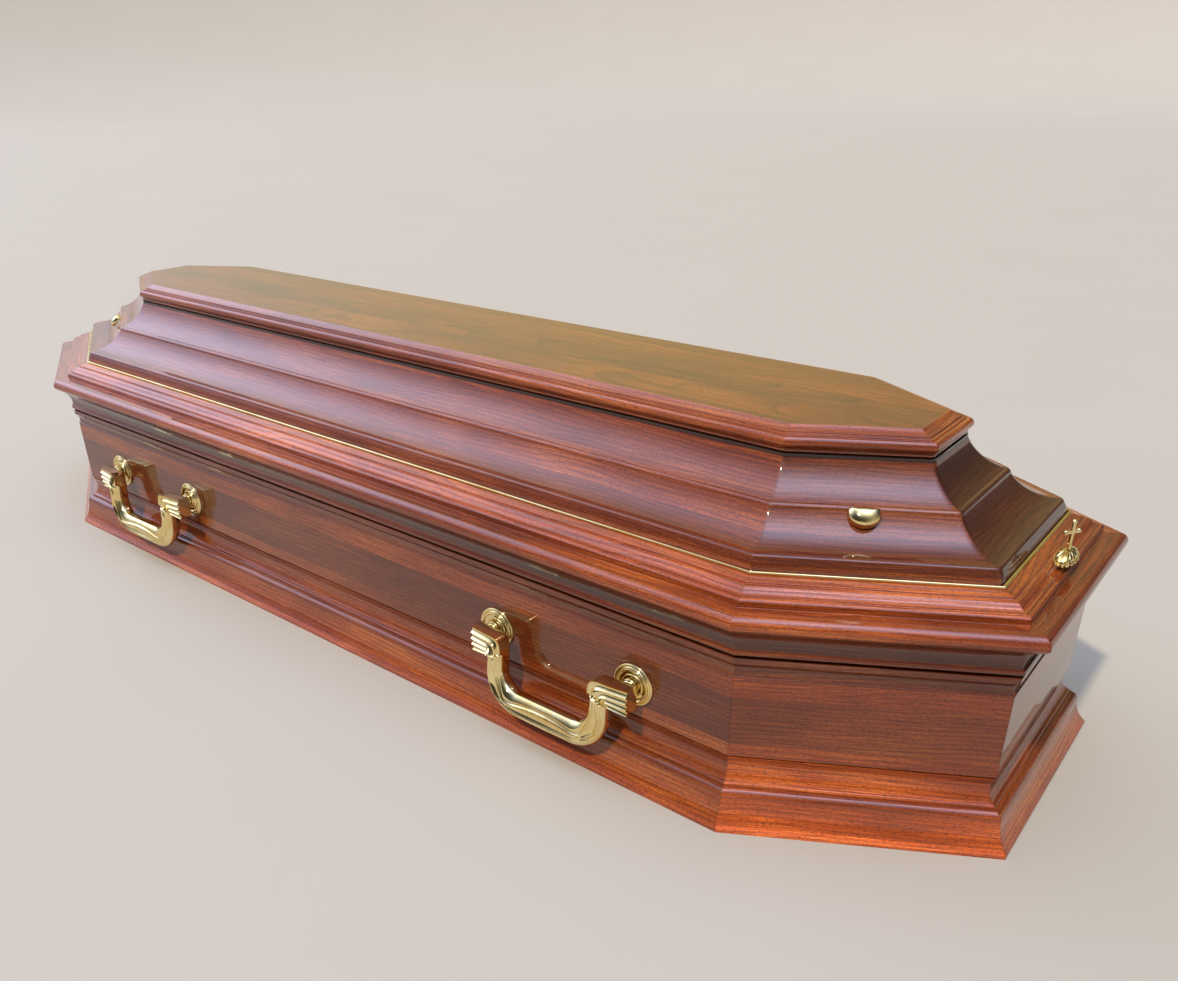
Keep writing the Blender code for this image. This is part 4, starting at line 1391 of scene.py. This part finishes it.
@dataclass
class Handle:
    """One cast handle: a thick ribbed grip on slim limbs, and two reeded ears on necks.

    Its section changes shape all the way along, which no single tool does, so the bail is
    skinned over its sections. X runs along the side, Y into the box and Z up, from the
    wall's face in the middle between the two rosettes.
    """

    post_spacing: float = 0.228
    standoff: float = 0.03
    lean: float = 0.007
    drop: float = 0.083
    limb_spacing: float = 0.172
    bend: float = 0.041
    neck: float = 0.016
    outer_span: float = 0.257
    end_drop: float = 0.01
    limb_width: float = 0.027
    grip_width: float = 0.037
    depth: float = 0.029
    ear_width: float = 0.036
    ear_depth: float = 0.023
    ear_set_back: float = 0.0043
    flute_depth: float = 0.0021
    flute_width: float = 0.34
    facet_depth: float = 0.0036
    reed_depth: float = 0.0036
    reeds: int = 4
    # Half the width that the two ridges stand apart, how far from the middle they meet, and
    # how long they part again after that.
    ridge_spread: float = 0.42
    ridge_meet: float = 0.066
    ridge_second: float = 0.062
    # How far the elliptic crown falls to the sides, and how square the bail and ears are.
    crown_fall: float = 0.93
    bail_squareness: float = 2.8
    ear_squareness: float = 9.8
    # Turn within the neck at which the ear starts, and how many degrees it takes.
    ear_turn: float = 19.0
    ear_blend: float = 3.0
    ear_rise: float = 0.0016
    ear_crown: float = 0.0020
    end_rounding: float = 0.0007
    neck_foot: float = 0.0091
    neck_turns: int = 48
    # How fully the outer side of the neck keeps its radius, and how square its inner side is.
    neck_fill: float = 0.94
    neck_power: int = 5
    front_points: int = 64
    back_points: int = 26
    # Steps of the path: half the grip, the bend, the limb, the neck and the ear.
    grip_steps: int = 22
    bend_steps: int = 32
    limb_steps: int = 12
    neck_steps: int = 40
    ear_steps: int = 12

    def half_path(self) -> list[Place]:
        """Right half of the centre line, from the bottom middle outwards.

        Returns:
            Points as (along, height, turn): the turn goes from 0 to 90 degrees in the neck.
        """
        limb = self.limb_spacing / 2
        low = -self.drop
        top = -self.end_drop
        run = limb - self.bend
        path = [(run * n / self.grip_steps, low, -1.0) for n in range(self.grip_steps)]
        for n in range(self.bend_steps + 1):
            angle = math.pi / 2 * n / self.bend_steps
            along = run + self.bend * math.sin(angle)
            path.append((along, low + self.bend * (1 - math.cos(angle)), -1.0))
        start = path[-1][1]
        rise = top - self.neck - start
        for n in range(1, self.limb_steps):
            path.append((limb, start + rise * n / self.limb_steps, -1.0))
        for n in range(self.neck_steps + 1):
            angle = math.pi / 2 * n / self.neck_steps
            along = limb + self.neck * (1 - math.cos(angle))
            height = top - self.neck * (1 - math.sin(angle))
            path.append((along, height, 90.0 * n / self.neck_steps))
        start = path[-1][0]
        rest = self.outer_span / 2 - start
        for n in range(1, self.ear_steps + 1):
            path.append((start + rest * n / self.ear_steps, top, 90.0))
        return path

    def halves(self, along: float, height: float, turn: float) -> Point:
        """Half widths of the section.

        Args:
            along: Distance along the coffin from the middle of the bail.
            height: Height of the centre line.
            turn: Turn within the neck in degrees, or -1 below it.

        Returns:
            Half width on the outer or lower side, and on the inner or upper side.
        """
        start = self.drop - self.bend
        grip = min(1.0, max(0.0, (-height - start) / self.bend))
        bail = (self.limb_width + (self.grip_width - self.limb_width) * grip) / 2
        if turn < 0.0:
            return bail, bail
        angle = math.radians(turn)
        wide = (self.neck + bail, self.neck + self.ear_width / 2)
        power = self.neck_power
        corner = (math.cos(angle) / wide[0]) ** power + (math.sin(angle) / wide[1]) ** power
        inner = corner ** (-1 / power) - self.neck
        outer = bail + (self.neck * self.neck_fill - bail) * turn / 90
        ear = max(0.0, (abs(along) - self.limb_spacing / 2 - self.neck))
        ear /= self.outer_span / 2 - self.limb_spacing / 2 - self.neck
        return outer + (self.ear_width / 2 - outer) * ear, inner

    def ridge(self, travel: float) -> float:
        """Half the spread of the two ridges, which part and meet again in long lenses.

        Args:
            travel: Distance along the centre line from the bottom middle.

        Returns:
            The spread, as a share of the half width.
        """
        if travel < self.ridge_meet:
            return self.ridge_spread * (1.0 - (travel / self.ridge_meet) ** 2)
        share = min(1.0, (travel - self.ridge_meet) / self.ridge_second)
        return self.ridge_spread * 1.1 * math.sin(math.pi * share) ** 0.8 if share < 1.0 else 0.0

    def front(self, across: float, travel: float, turn: float) -> float:
        """Height of the front face over the middle of the section.

        Args:
            across: Place across the width, -1 to 1.
            travel: Distance along the centre line from the bottom middle.
            turn: Turn within the neck in degrees, or -1 below it.

        Returns:
            Height in metres.
        """
        place = abs(across)
        ridge = self.ridge(travel)
        crown, at_ridge = (
            self.depth / 2 * math.sqrt(1.0 - self.crown_fall * spot * spot)
            for spot in (place, ridge)
        )
        if place > ridge:
            way = (place - ridge) / self.flute_width
            bail = crown - self.flute_depth * math.sin(math.pi * min(1.0, way)) ** 2
        else:
            hollow = self.facet_depth * min(1.0, ridge / self.ridge_spread)
            bail = at_ridge - hollow * (1.0 - (place / max(ridge, 1e-6)) ** 2)
        reed = (across + 1.0) / 2 * self.reeds % 1.0 * 2 - 1
        flat = self.ear_depth / 2 + self.ear_rise - self.ear_crown * place * place
        reeded = flat - self.reed_depth * (1.0 - reed * reed)
        ear = min(1.0, max(0.0, (turn - self.ear_turn) / self.ear_blend))
        return bail + (reeded - bail) * ear

    def section(self, spot: Place, travel: float) -> list[Point]:
        """Draw the section at a place along the bail.

        Args:
            spot: Distance along the coffin from the bail's middle, height of the centre
                line, and turn within the neck in degrees, or -1 below it.
            travel: Distance along the centre line from the bottom middle.

        Returns:
            Points as (across, outwards), counter-clockwise.
        """
        outer, inner = self.halves(*spot)
        turn = spot[2]
        share = min(1.0, max(0.0, turn / 90))
        back = -(self.depth + (self.ear_depth - self.depth) * share) / 2
        points = []
        for n in range(self.front_points + 1):
            across = n / self.front_points * 2 - 1
            half = inner if across > 0 else outer
            points.append((half * across, self.front(across, travel, turn)))
        square = self.bail_squareness + (self.ear_squareness - self.bail_squareness) * share
        start = points[-1][1]
        for n in range(1, self.back_points):
            angle = math.pi * n / self.back_points
            side = math.copysign(abs(math.cos(angle)) ** (2 / square), math.cos(angle))
            low = math.sin(angle) ** (2 / square)
            half = inner if side > 0 else outer
            points.append((half * side, start + (back - start) * low))
        return points

    def bail(self) -> bpy.types.Object:
        """Skin the bail over its sections.

        Returns:
            The bail, with its ears.
        """
        right = self.half_path()
        travels = [0.0]
        for before, after in zip(right, right[1:]):
            travels.append(travels[-1] + math.dist(before[:2], after[:2]))
        path = [(-x, z, turn) for x, z, turn in reversed(right[1:])] + right
        travels = travels[:0:-1] + travels
        body = bmesh.new()
        rings = []
        for number, (along, height, turn) in enumerate(path):
            before = path[max(number - 1, 0)]
            after = path[min(number + 1, len(path) - 1)]
            forward = Vector((after[0] - before[0], after[1] - before[1])).normalized()
            across = Vector((-forward.y, forward.x))
            reach = abs(along) - self.limb_spacing / 2
            share = max(0.0, reach / (self.outer_span / 2 - self.limb_spacing / 2))
            leaning = self.lean * (-self.end_drop - height) / (self.drop - self.end_drop)
            centre = self.standoff + leaning - self.ear_set_back * share
            ring = []
            for width, out in self.section(path[number], travels[number]):
                spot = (along + across.x * width, -centre - out, height + across.y * width)
                ring.append(body.verts.new(spot))
            rings.append(ring)
        for ring, following in zip(rings, rings[1:]):
            for n, vert in enumerate(ring):
                m = (n + 1) % len(ring)
                body.faces.new((vert, ring[m], following[m], following[n]))
        for ring in (rings[0], rings[-1]):
            body.faces.new(ring)
        bmesh.ops.recalc_face_normals(body, faces=body.faces)
        mesh = bpy.data.meshes.new("bail")
        body.to_mesh(mesh)
        body.free()
        piece = bpy.data.objects.new("bail", mesh)
        bpy.context.scene.collection.objects.link(piece)
        Bench.pick_up(piece)
        bevel = piece.modifiers.new("eased_ends", "BEVEL")
        bevel.limit_method = "VGROUP"
        group = piece.vertex_groups.new(name="ends")
        edge = self.outer_span / 2 - 1e-5
        group.add([v.index for v in mesh.vertices if abs(v.co.x) > edge], 1.0, "REPLACE")
        bevel.vertex_group = group.name
        bevel.width = self.end_rounding
        bevel.segments = 3
        bpy.ops.object.modifier_apply(modifier=bevel.name)
        piece.vertex_groups.clear()
        return piece

    def necks(self) -> list[bpy.types.Object]:
        """Turn the two necks between the rosettes and the ears.

        Returns:
            Both necks, in their places.
        """
        made = []
        # Collar on the rosette's middle, a short taper and the straight neck into the ear.
        start = self.neck_foot
        drawn = Section([(0.0, start)]).to(0.0118, start).bow(-0.0012, 0.0016, -0.0004, 5)
        drawn.bow(-0.0011, 0.0035, -0.0006, 6).by(0.0, 0.006).to(0.0, drawn.last[1])
        for end in (-1.0, 1.0):
            piece = Bench.turned("neck", drawn.points, self.neck_turns)
            shift = (end * self.post_spacing / 2, 0.0, -self.end_drop / 2)
            bpy.ops.transform.translate(value=shift)
            bpy.ops.object.mode_set(mode="OBJECT")
            made.append(piece)
        return made

    def pattern(self) -> bpy.types.Object:
        """Join the bail and its necks.

        Returns:
            One handle, in its own frame.
        """
        handle = Bench.join("handle_pattern", [self.bail(), *self.necks()])
        Bench.smooth(handle, 32)
        return handle


@dataclass
class Handles:
    """Four handles and their eight rosettes, on the two long sides."""

    plan: Plan
    brass: bpy.types.Material
    spread: float = 0.4693 * Plan.length
    height: float = 0.14
    wall_face: float = 0.033

    def build(self) -> None:
        """Copy one handle and one rosette to every place."""
        design = Handle()
        handle = design.pattern()
        rosette = Rosette().pattern()
        for side_name in ("left", "right"):
            side = self.plan.side(side_name)
            middle = self.plan.middle(side_name, self.wall_face) - side.inward * FIT_GAP
            turn = Matrix.Rotation(side.heading, 4, "Z")
            ends = ("foot", "head") if side.along.x > 0 else ("head", "foot")
            for end, share in zip(ends, (-0.5, 0.5)):
                centre = middle + side.along * (share * self.spread)
                place = Matrix.Translation((centre.x, centre.y, self.height)) @ turn
                label = f"{side_name}_{end}"
                bail = Bench.copy(handle, f"bail_handle_{label}", place)
                settle(bail, self.brass, Slot.BRASS, f"handle_{label}")
                for number, way in ((1, -0.5), (2, 0.5)):
                    post = (way * design.post_spacing, 0.0, -design.end_drop / 2)
                    spot = place @ Matrix.Translation(post)
                    disc = Bench.copy(rosette, f"turned_rosette_{label}_{number}", spot)
                    settle(disc, self.brass, Slot.BRASS, f"rosette_{label}_{number}")
        Bench.scrap(handle)
        Bench.scrap(rosette)


@dataclass
class ShieldBosses:
    """Domed bosses with a slightly arched top edge, one on each canted corner of the lid."""

    plan: Plan
    brass: bpy.types.Material
    slope: LidSlope
    width: float = 0.034
    height: float = 0.024
    swell: float = 0.0072
    edge: float = 0.0035
    crown: float = 0.0075
    overlap: float = 0.0035
    # Shares: of half the width that is blunt at the foot, and of the height: how much of it
    # the blunt foot takes, how far the top edge arches, and where the dome's middle lies.
    blunt: float = 0.16
    foot: float = 0.03
    arch: float = 0.06
    middle: float = 0.40
    # Share of the edge that stands upright.
    upright: float = 0.6
    rings: int = 10

    def pattern(self) -> bpy.types.Object:
        """Raise the dome from its outline, ring by ring.

        Returns:
            A boss that lies in its XY plane with the ends of its top edge on the X axis.
        """
        half = self.width / 2
        blunt = half * self.blunt
        left = Section([(-half, 0.0)])
        left.bow(half - blunt, -self.height * (1 - self.foot), -self.swell, 16)
        left = left.by(blunt, -self.height * self.foot).points
        rise = self.height * self.arch
        top = [
            (half - self.width * n / 10, rise * math.sin(math.pi * n / 10)) for n in range(1, 10)
        ]
        outline = left + [(-x, y) for x, y in reversed(left[:-1])] + top
        piece = Bench.drawn("shield_pattern", [(x, y, 0.0) for x, y in outline])
        upright = (0.0, 0.0, self.edge * self.upright)
        bpy.ops.mesh.extrude_region_move(TRANSFORM_OT_translate={"value": upright})
        middle = Vector((0.0, -self.height * self.middle, 0.0))
        size = 1.0
        height = 0.0
        rise_to = self.edge * (1 - self.upright) + self.crown
        # Rings that shrink towards the dome's middle as they rise.
        for ring in range(1, self.rings + 1):
            angle = math.pi / 2 * ring / (self.rings + 0.5)
            next_size = math.cos(angle) ** 0.9
            next_height = rise_to * math.sin(angle)
            bpy.ops.mesh.extrude_region_move(
                TRANSFORM_OT_translate={"value": (0.0, 0.0, next_height - height)}
            )
            bpy.ops.transform.resize(
                value=(next_size / size, next_size / size, 1.0), center_override=middle
            )
            size, height = next_size, next_height
        bpy.ops.mesh.poke(offset=0.0)
        bpy.ops.mesh.select_all(action="SELECT")
        bpy.ops.mesh.normals_make_consistent(inside=False)
        bpy.ops.object.mode_set(mode="OBJECT")
        Bench.smooth(piece, 60)
        return piece

    def seat(self, name: str) -> Matrix:
        """Place of a boss on a canted corner: it bridges the lower cove under the arris.

        Args:
            name: Side of the plan that it sits on.

        Returns:
            Matrix whose X runs along the side, Y up the slope and Z out of it.
        """
        face, arris = self.slope.drawn_face()
        top = Vector(arris)
        below = face.points[: face.points.index(arris) + 1]
        rest = next(Vector(p) for p in reversed(below) if (top - Vector(p)).length >= self.height)
        rise = (top - rest).normalized()
        out = Vector((-rise.y, rise.x))
        above = face.points[face.points.index(arris) :]
        proud = max((Vector(p) - top).dot(out) for p in above)
        spot = top + rise * self.overlap + out * (proud + FIT_GAP)
        side = self.plan.side(name)
        middle = self.plan.middle(name, spot.x)
        place = Matrix.Identity(4)
        place.col[0].xyz = side.along.to_3d()
        place.col[1].xyz = (side.inward.x * rise.x, side.inward.y * rise.x, rise.y)
        place.col[2].xyz = (side.inward.x * out.x, side.inward.y * out.x, out.y)
        place.col[3].xyz = (middle.x, middle.y, spot.y)
        return place

    def build(self) -> None:
        """Copy the boss to the four corners."""
        pattern = self.pattern()
        for name in ("foot_left", "head_left", "head_right", "foot_right"):
            boss = Bench.copy(pattern, f"domed_shield_{name}", self.seat(name))
            settle(boss, self.brass, Slot.BRASS, f"shield_boss_{name}")
        Bench.scrap(pattern)


@dataclass
class LidScrew:
    """Decorative lid screw at the head end: an oval fluted dome and a budded cross."""

    plan: Plan
    brass: bpy.types.Material
    inset: float = 0.042
    turn: float = math.radians(-33.0)
    cross_height: float = 0.038
    cross_span: float = 0.018
    bar: float = 0.0038
    thickness: float = 0.0032
    arm_height: float = 0.0255
    bud: float = 0.0029
    bar_rounding: float = 0.0008
    dome_height: float = 0.0095
    # Flare of the dome's lip along its two axes, and how far its flutes are drawn in.
    flare: Point = (1.14, 1.07)
    flute_pinch: Place = (0.90, 0.90, 0.97)
    segments: int = 64
    flute_segments: int = 4

    def dome(self, low: Vector, high: Vector) -> bpy.types.Object:
        """Shape the oval base inside the node's outline.

        Args:
            low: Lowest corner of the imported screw.
            high: Highest corner of it.

        Returns:
            The base.
        """
        bpy.ops.mesh.primitive_uv_sphere_add(
            segments=self.segments, ring_count=28, radius=1.0, location=(0.0, 0.0, 0.0)
        )
        piece = bpy.context.object
        Bench.into_mesh(piece)
        # The lower half falls away, and the cut edge flares out to a lip with a skirt.
        Bench.saw(Vector((0.0, 0.0, 0.02)), Vector((0.0, 0.0, -1.0)), True)
        Bench.select(piece, lambda place: place.z < 0.03)
        bpy.ops.mesh.extrude_region_move(TRANSFORM_OT_translate={"value": (0.0, 0.0, 0.0)})
        bpy.ops.transform.resize(value=(*self.flare, 1.0), center_override=(0.0, 0.0, 0.0))
        bpy.ops.mesh.extrude_region_move(TRANSFORM_OT_translate={"value": (0.0, 0.0, -0.26)})
        # Every few segments, one is drawn in to a flute.
        step = math.tau / self.segments
        Bench.select(
            piece,
            lambda place: place.xy.length > 0.3
            and round(math.atan2(place.y, place.x) / step) % self.flute_segments == 0,
        )
        bpy.ops.transform.resize(value=self.flute_pinch, center_override=(0.0, 0.0, 0.0))
        bpy.ops.mesh.select_all(action="SELECT")
        bpy.ops.mesh.normals_make_consistent(inside=False)
        bpy.ops.object.mode_set(mode="OBJECT")
        piece.scale = (
            (high.x - low.x) / 2 / self.flare[0],
            (high.y - low.y) / 2 / self.flare[1],
            self.dome_height,
        )
        foot = high.z - self.cross_height + self.bar - self.dome_height - self.bud
        piece.location = ((low.x + high.x) / 2, (low.y + high.y) / 2, foot)
        bpy.ops.object.transform_apply(location=True, rotation=True, scale=True)
        return piece

    def bar_piece(self, size: Place, middle: Vector) -> bpy.types.Object:
        """Make one bar of the cross, with soft edges.

        Args:
            size: Thickness, width and height.
            middle: Middle of the bar.

        Returns:
            The bar.
        """
        Bench.lay_down_all()
        bpy.ops.mesh.primitive_cube_add(size=1.0, location=(0.0, 0.0, 0.0))
        piece = bpy.context.object
        Bench.into_mesh(piece)
        bpy.ops.transform.resize(value=size)
        bpy.ops.mesh.bevel(offset=self.bar_rounding, segments=3, affect="EDGES")
        bpy.ops.object.mode_set(mode="OBJECT")
        piece.location = middle
        piece.rotation_euler.z = self.turn
        bpy.ops.object.transform_apply(location=True, rotation=True, scale=True)
        return piece

    def bud_piece(self, middle: Vector) -> bpy.types.Object:
        """Make one bud, a little flattened, for an end of the cross.

        Args:
            middle: Middle of the bud.

        Returns:
            The bud.
        """
        Bench.lay_down_all()
        bpy.ops.mesh.primitive_uv_sphere_add(
            segments=24, ring_count=16, radius=self.bud, location=(0.0, 0.0, 0.0)
        )
        piece = bpy.context.object
        piece.scale = (0.85, 1.0, 1.0)
        piece.location = middle
        piece.rotation_euler.z = self.turn
        bpy.ops.object.transform_apply(location=True, rotation=True, scale=True)
        return piece

    def build(self) -> None:
        """Make, join and dress the screw."""
        low, high = (Vector(corner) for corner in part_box("lid_screw_cross"))
        Bench.lay_down_all()
        spot = self.plan.middle("head", self.inset)
        foot = high.z - self.bud - self.cross_height
        upright = Vector((spot.x, spot.y, foot + self.cross_height / 2))
        crossing = Vector((spot.x, spot.y, foot + self.arm_height))
        arm = Matrix.Rotation(self.turn, 3, "Z") @ Vector((0.0, self.cross_span / 2, 0.0))
        tip = Vector((spot.x, spot.y, foot + self.cross_height))
        pieces = [
            self.dome(low, high),
            self.bar_piece((self.thickness, self.bar, self.cross_height), upright),
            self.bar_piece((self.thickness * 0.9, self.cross_span, self.bar), crossing),
            *(self.bud_piece(middle) for middle in (tip, crossing - arm, crossing + arm)),
        ]
        screw = Bench.join("cross_screw", pieces)
        Bench.smooth(screw, 40)
        settle(screw, self.brass, Slot.BRASS, "lid_screw_cross")


# ---------------------------------------------------------------- studio


@dataclass(frozen=True)
class Glow:
    """One broad soft light in the room: a bright patch of its walls or ceiling."""

    towards: Place
    colour: str
    strength: float
    narrowness: float


@dataclass
class Studio:
    """Pale floor, one key light, a room with soft light patches, and the photograph's camera."""

    focal_px: float = 1000.208
    centre_px: Point = (581.806, 578.155)
    place: Place = (1.18600, -1.14750, 0.82101)
    yaw: float = 128.478
    pitch: float = 27.5
    roll: float = -0.5137
    floor_radius: float = 16.0
    rim_steps: int = 8
    rim_radius: float = 5.0
    rim_turn: float = 50.0
    key_from: Place = (0.04, -0.60, 0.80)
    key_strength: float = 3.2
    key_colour: str = "#fff3e2"
    key_softness: float = 3.0
    room_colour: str = "#e8ebf2"
    room_strength: float = 0.07
    glows: tuple[Glow, ...] = (
        Glow((-0.60, 0.76, 0.28), "#dfd084", 0.88, 4.5),
        Glow((-0.80, -0.07, 0.60), "#d0dcff", 3.8, 8.5),
        Glow((0.17, -0.04, 0.98), "#ccdaff", 5.6, 10.0),
        Glow((0.95, -0.20, 0.10), "#f3ead8", 0.5, 6.0),
    )

    def lay_floor(self) -> None:
        """Lay a round floor that curves up at its far edge."""
        Bench.lay_down_all()
        bpy.ops.mesh.primitive_circle_add(
            vertices=128, radius=self.floor_radius, fill_type="NGON", location=(0.0, 0.0, 0.0)
        )
        floor = bpy.context.object
        floor.name = "studio_floor"
        Bench.into_mesh(floor)
        edge = self.floor_radius - 0.01
        Bench.select(floor, lambda spot: spot.length > edge)
        reach, level = self.floor_radius, 0.0
        bpy.ops.mesh.select_mode(type="EDGE")
        for step in range(1, self.rim_steps + 1):
            angle = math.radians(self.rim_turn) * step / self.rim_steps
            further = self.floor_radius + self.rim_radius * math.sin(angle)
            higher = self.rim_radius * (1 - math.cos(angle))
            bpy.ops.mesh.extrude_edges_move(
                TRANSFORM_OT_translate={"value": (0.0, 0.0, higher - level)}
            )
            bpy.ops.transform.resize(
                value=(further / reach, further / reach, 1.0), center_override=(0.0, 0.0, higher)
            )
            reach, level = further, higher
        bpy.ops.mesh.select_mode(type="VERT")
        bpy.ops.mesh.select_all(action="SELECT")
        bpy.ops.mesh.normals_make_consistent(inside=True)
        bpy.ops.object.mode_set(mode="OBJECT")
        bpy.ops.object.shade_smooth_by_angle(angle=math.radians(40))
        floor.data.materials.append(PaleFloor().material("pale_floor"))

    def hang_key(self) -> None:
        """Hang the key light."""
        lamp = bpy.data.lights.new("key_light", "SUN")
        lamp.energy = self.key_strength
        lamp.angle = math.radians(self.key_softness)
        lamp.color = linear(self.key_colour)[:3]
        holder = bpy.data.objects.new("key_light", lamp)
        bpy.context.scene.collection.objects.link(holder)
        holder.location = Vector(self.key_from) * 4
        holder.rotation_euler = (-Vector(self.key_from)).to_track_quat("-Z", "Y").to_euler()

    def light_room(self) -> None:
        """Fill the room with even light and its soft patches."""
        room = bpy.data.worlds.new("studio_room")
        bpy.context.scene.world = room
        board = NodeBoard(room)
        way = board.add("TexCoord").outputs["Generated"]
        even = tuple(self.room_strength * part for part in linear(self.room_colour)[:3])
        light = board.add("CombineXYZ", dict(zip("XYZ", even)))
        for glow in self.glows:
            axis = Vector(glow.towards).normalized()
            facing = board.add("VectorMath", {0: way, 1: axis}, operation="DOT_PRODUCT")
            share = board.add("Math", {0: facing.outputs["Value"], 1: 0.0}, operation="MAXIMUM")
            share = board.add("Math", {0: share, 1: glow.narrowness}, operation="POWER")
            full = Vector(linear(glow.colour)[:3]) * glow.strength
            part = board.add("VectorMath", {0: full, "Scale": share}, operation="SCALE")
            light = board.add("VectorMath", {0: light, 1: part}, operation="ADD")
        back = board.add("Background", {"Color": light, "Strength": 1.0})
        board.add("OutputWorld", {"Surface": back})

    def set_camera(self) -> None:
        """Put the camera where the photograph was taken from."""
        yaw, pitch, roll = (math.radians(v) for v in (self.yaw, self.pitch, self.roll))
        forward = Vector(
            (math.cos(pitch) * math.cos(yaw), math.cos(pitch) * math.sin(yaw), -math.sin(pitch))
        )
        right = forward.cross(Vector((0.0, 0.0, 1.0))).normalized()
        up = right.cross(forward)
        place = Matrix.Identity(4)
        place.col[0].xyz = right * math.cos(roll) + up * math.sin(roll)
        place.col[1].xyz = up * math.cos(roll) - right * math.sin(roll)
        place.col[2].xyz = -forward
        place.col[3].xyz = self.place
        lens = bpy.data.cameras.new("photo_camera")
        lens.sensor_fit = "HORIZONTAL"
        lens.sensor_width = 36.0
        lens.lens = self.focal_px / PHOTO_WIDTH * lens.sensor_width
        lens.shift_x = (PHOTO_WIDTH / 2 - self.centre_px[0]) / PHOTO_WIDTH
        lens.shift_y = (self.centre_px[1] - PHOTO_HEIGHT / 2) / PHOTO_WIDTH
        camera = bpy.data.objects.new("photo_camera", lens)
        bpy.context.scene.collection.objects.link(camera)
        camera.matrix_world = place
        bpy.context.scene.camera = camera

    def build(self) -> None:
        """Set up the whole studio."""
        self.lay_floor()
        self.hang_key()
        self.light_room()
        self.set_camera()
        bpy.context.scene.view_settings.view_transform = "Standard"


def main() -> None:
    """Build the sub-assemblies in order, and note the size of the result."""
    logging.basicConfig(level=logging.INFO, format="%(name)s %(message)s", stream=sys.stdout)
    Studio().build()
    plan = Plan()
    boards = StainedBeech()
    wood = boards.material("stained_beech", Coords.MARKED)
    brass = PolishedBrass().material("polished_brass_plating")
    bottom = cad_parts["bottom_board"]
    bottom.data.materials.clear()
    bottom.data.materials.append(PlainBoard().material("planed_bottom_board"))
    BaseMoulding(plan, wood).build()
    Walls(plan, boards).dress()
    Cornice(plan, wood).build()
    rim = LidRim(plan, wood)
    rim.build()
    strip = MetalStrip(plan, brass, rim.seat)
    strip.build()
    foot = (rim.seat[0] + strip.width + FIT_GAP, rim.seat[1] + FIT_GAP)
    slope = LidSlope(plan, wood, foot, rim.seat[0] + rim.shelf)
    slope.build()
    TopPlate(plan, wood, slope.top).build()
    Handles(plan, brass).build()
    ShieldBosses(plan, brass, slope).build()
    LidScrew(plan, brass).build()


if __name__ == "__main__":
    main()
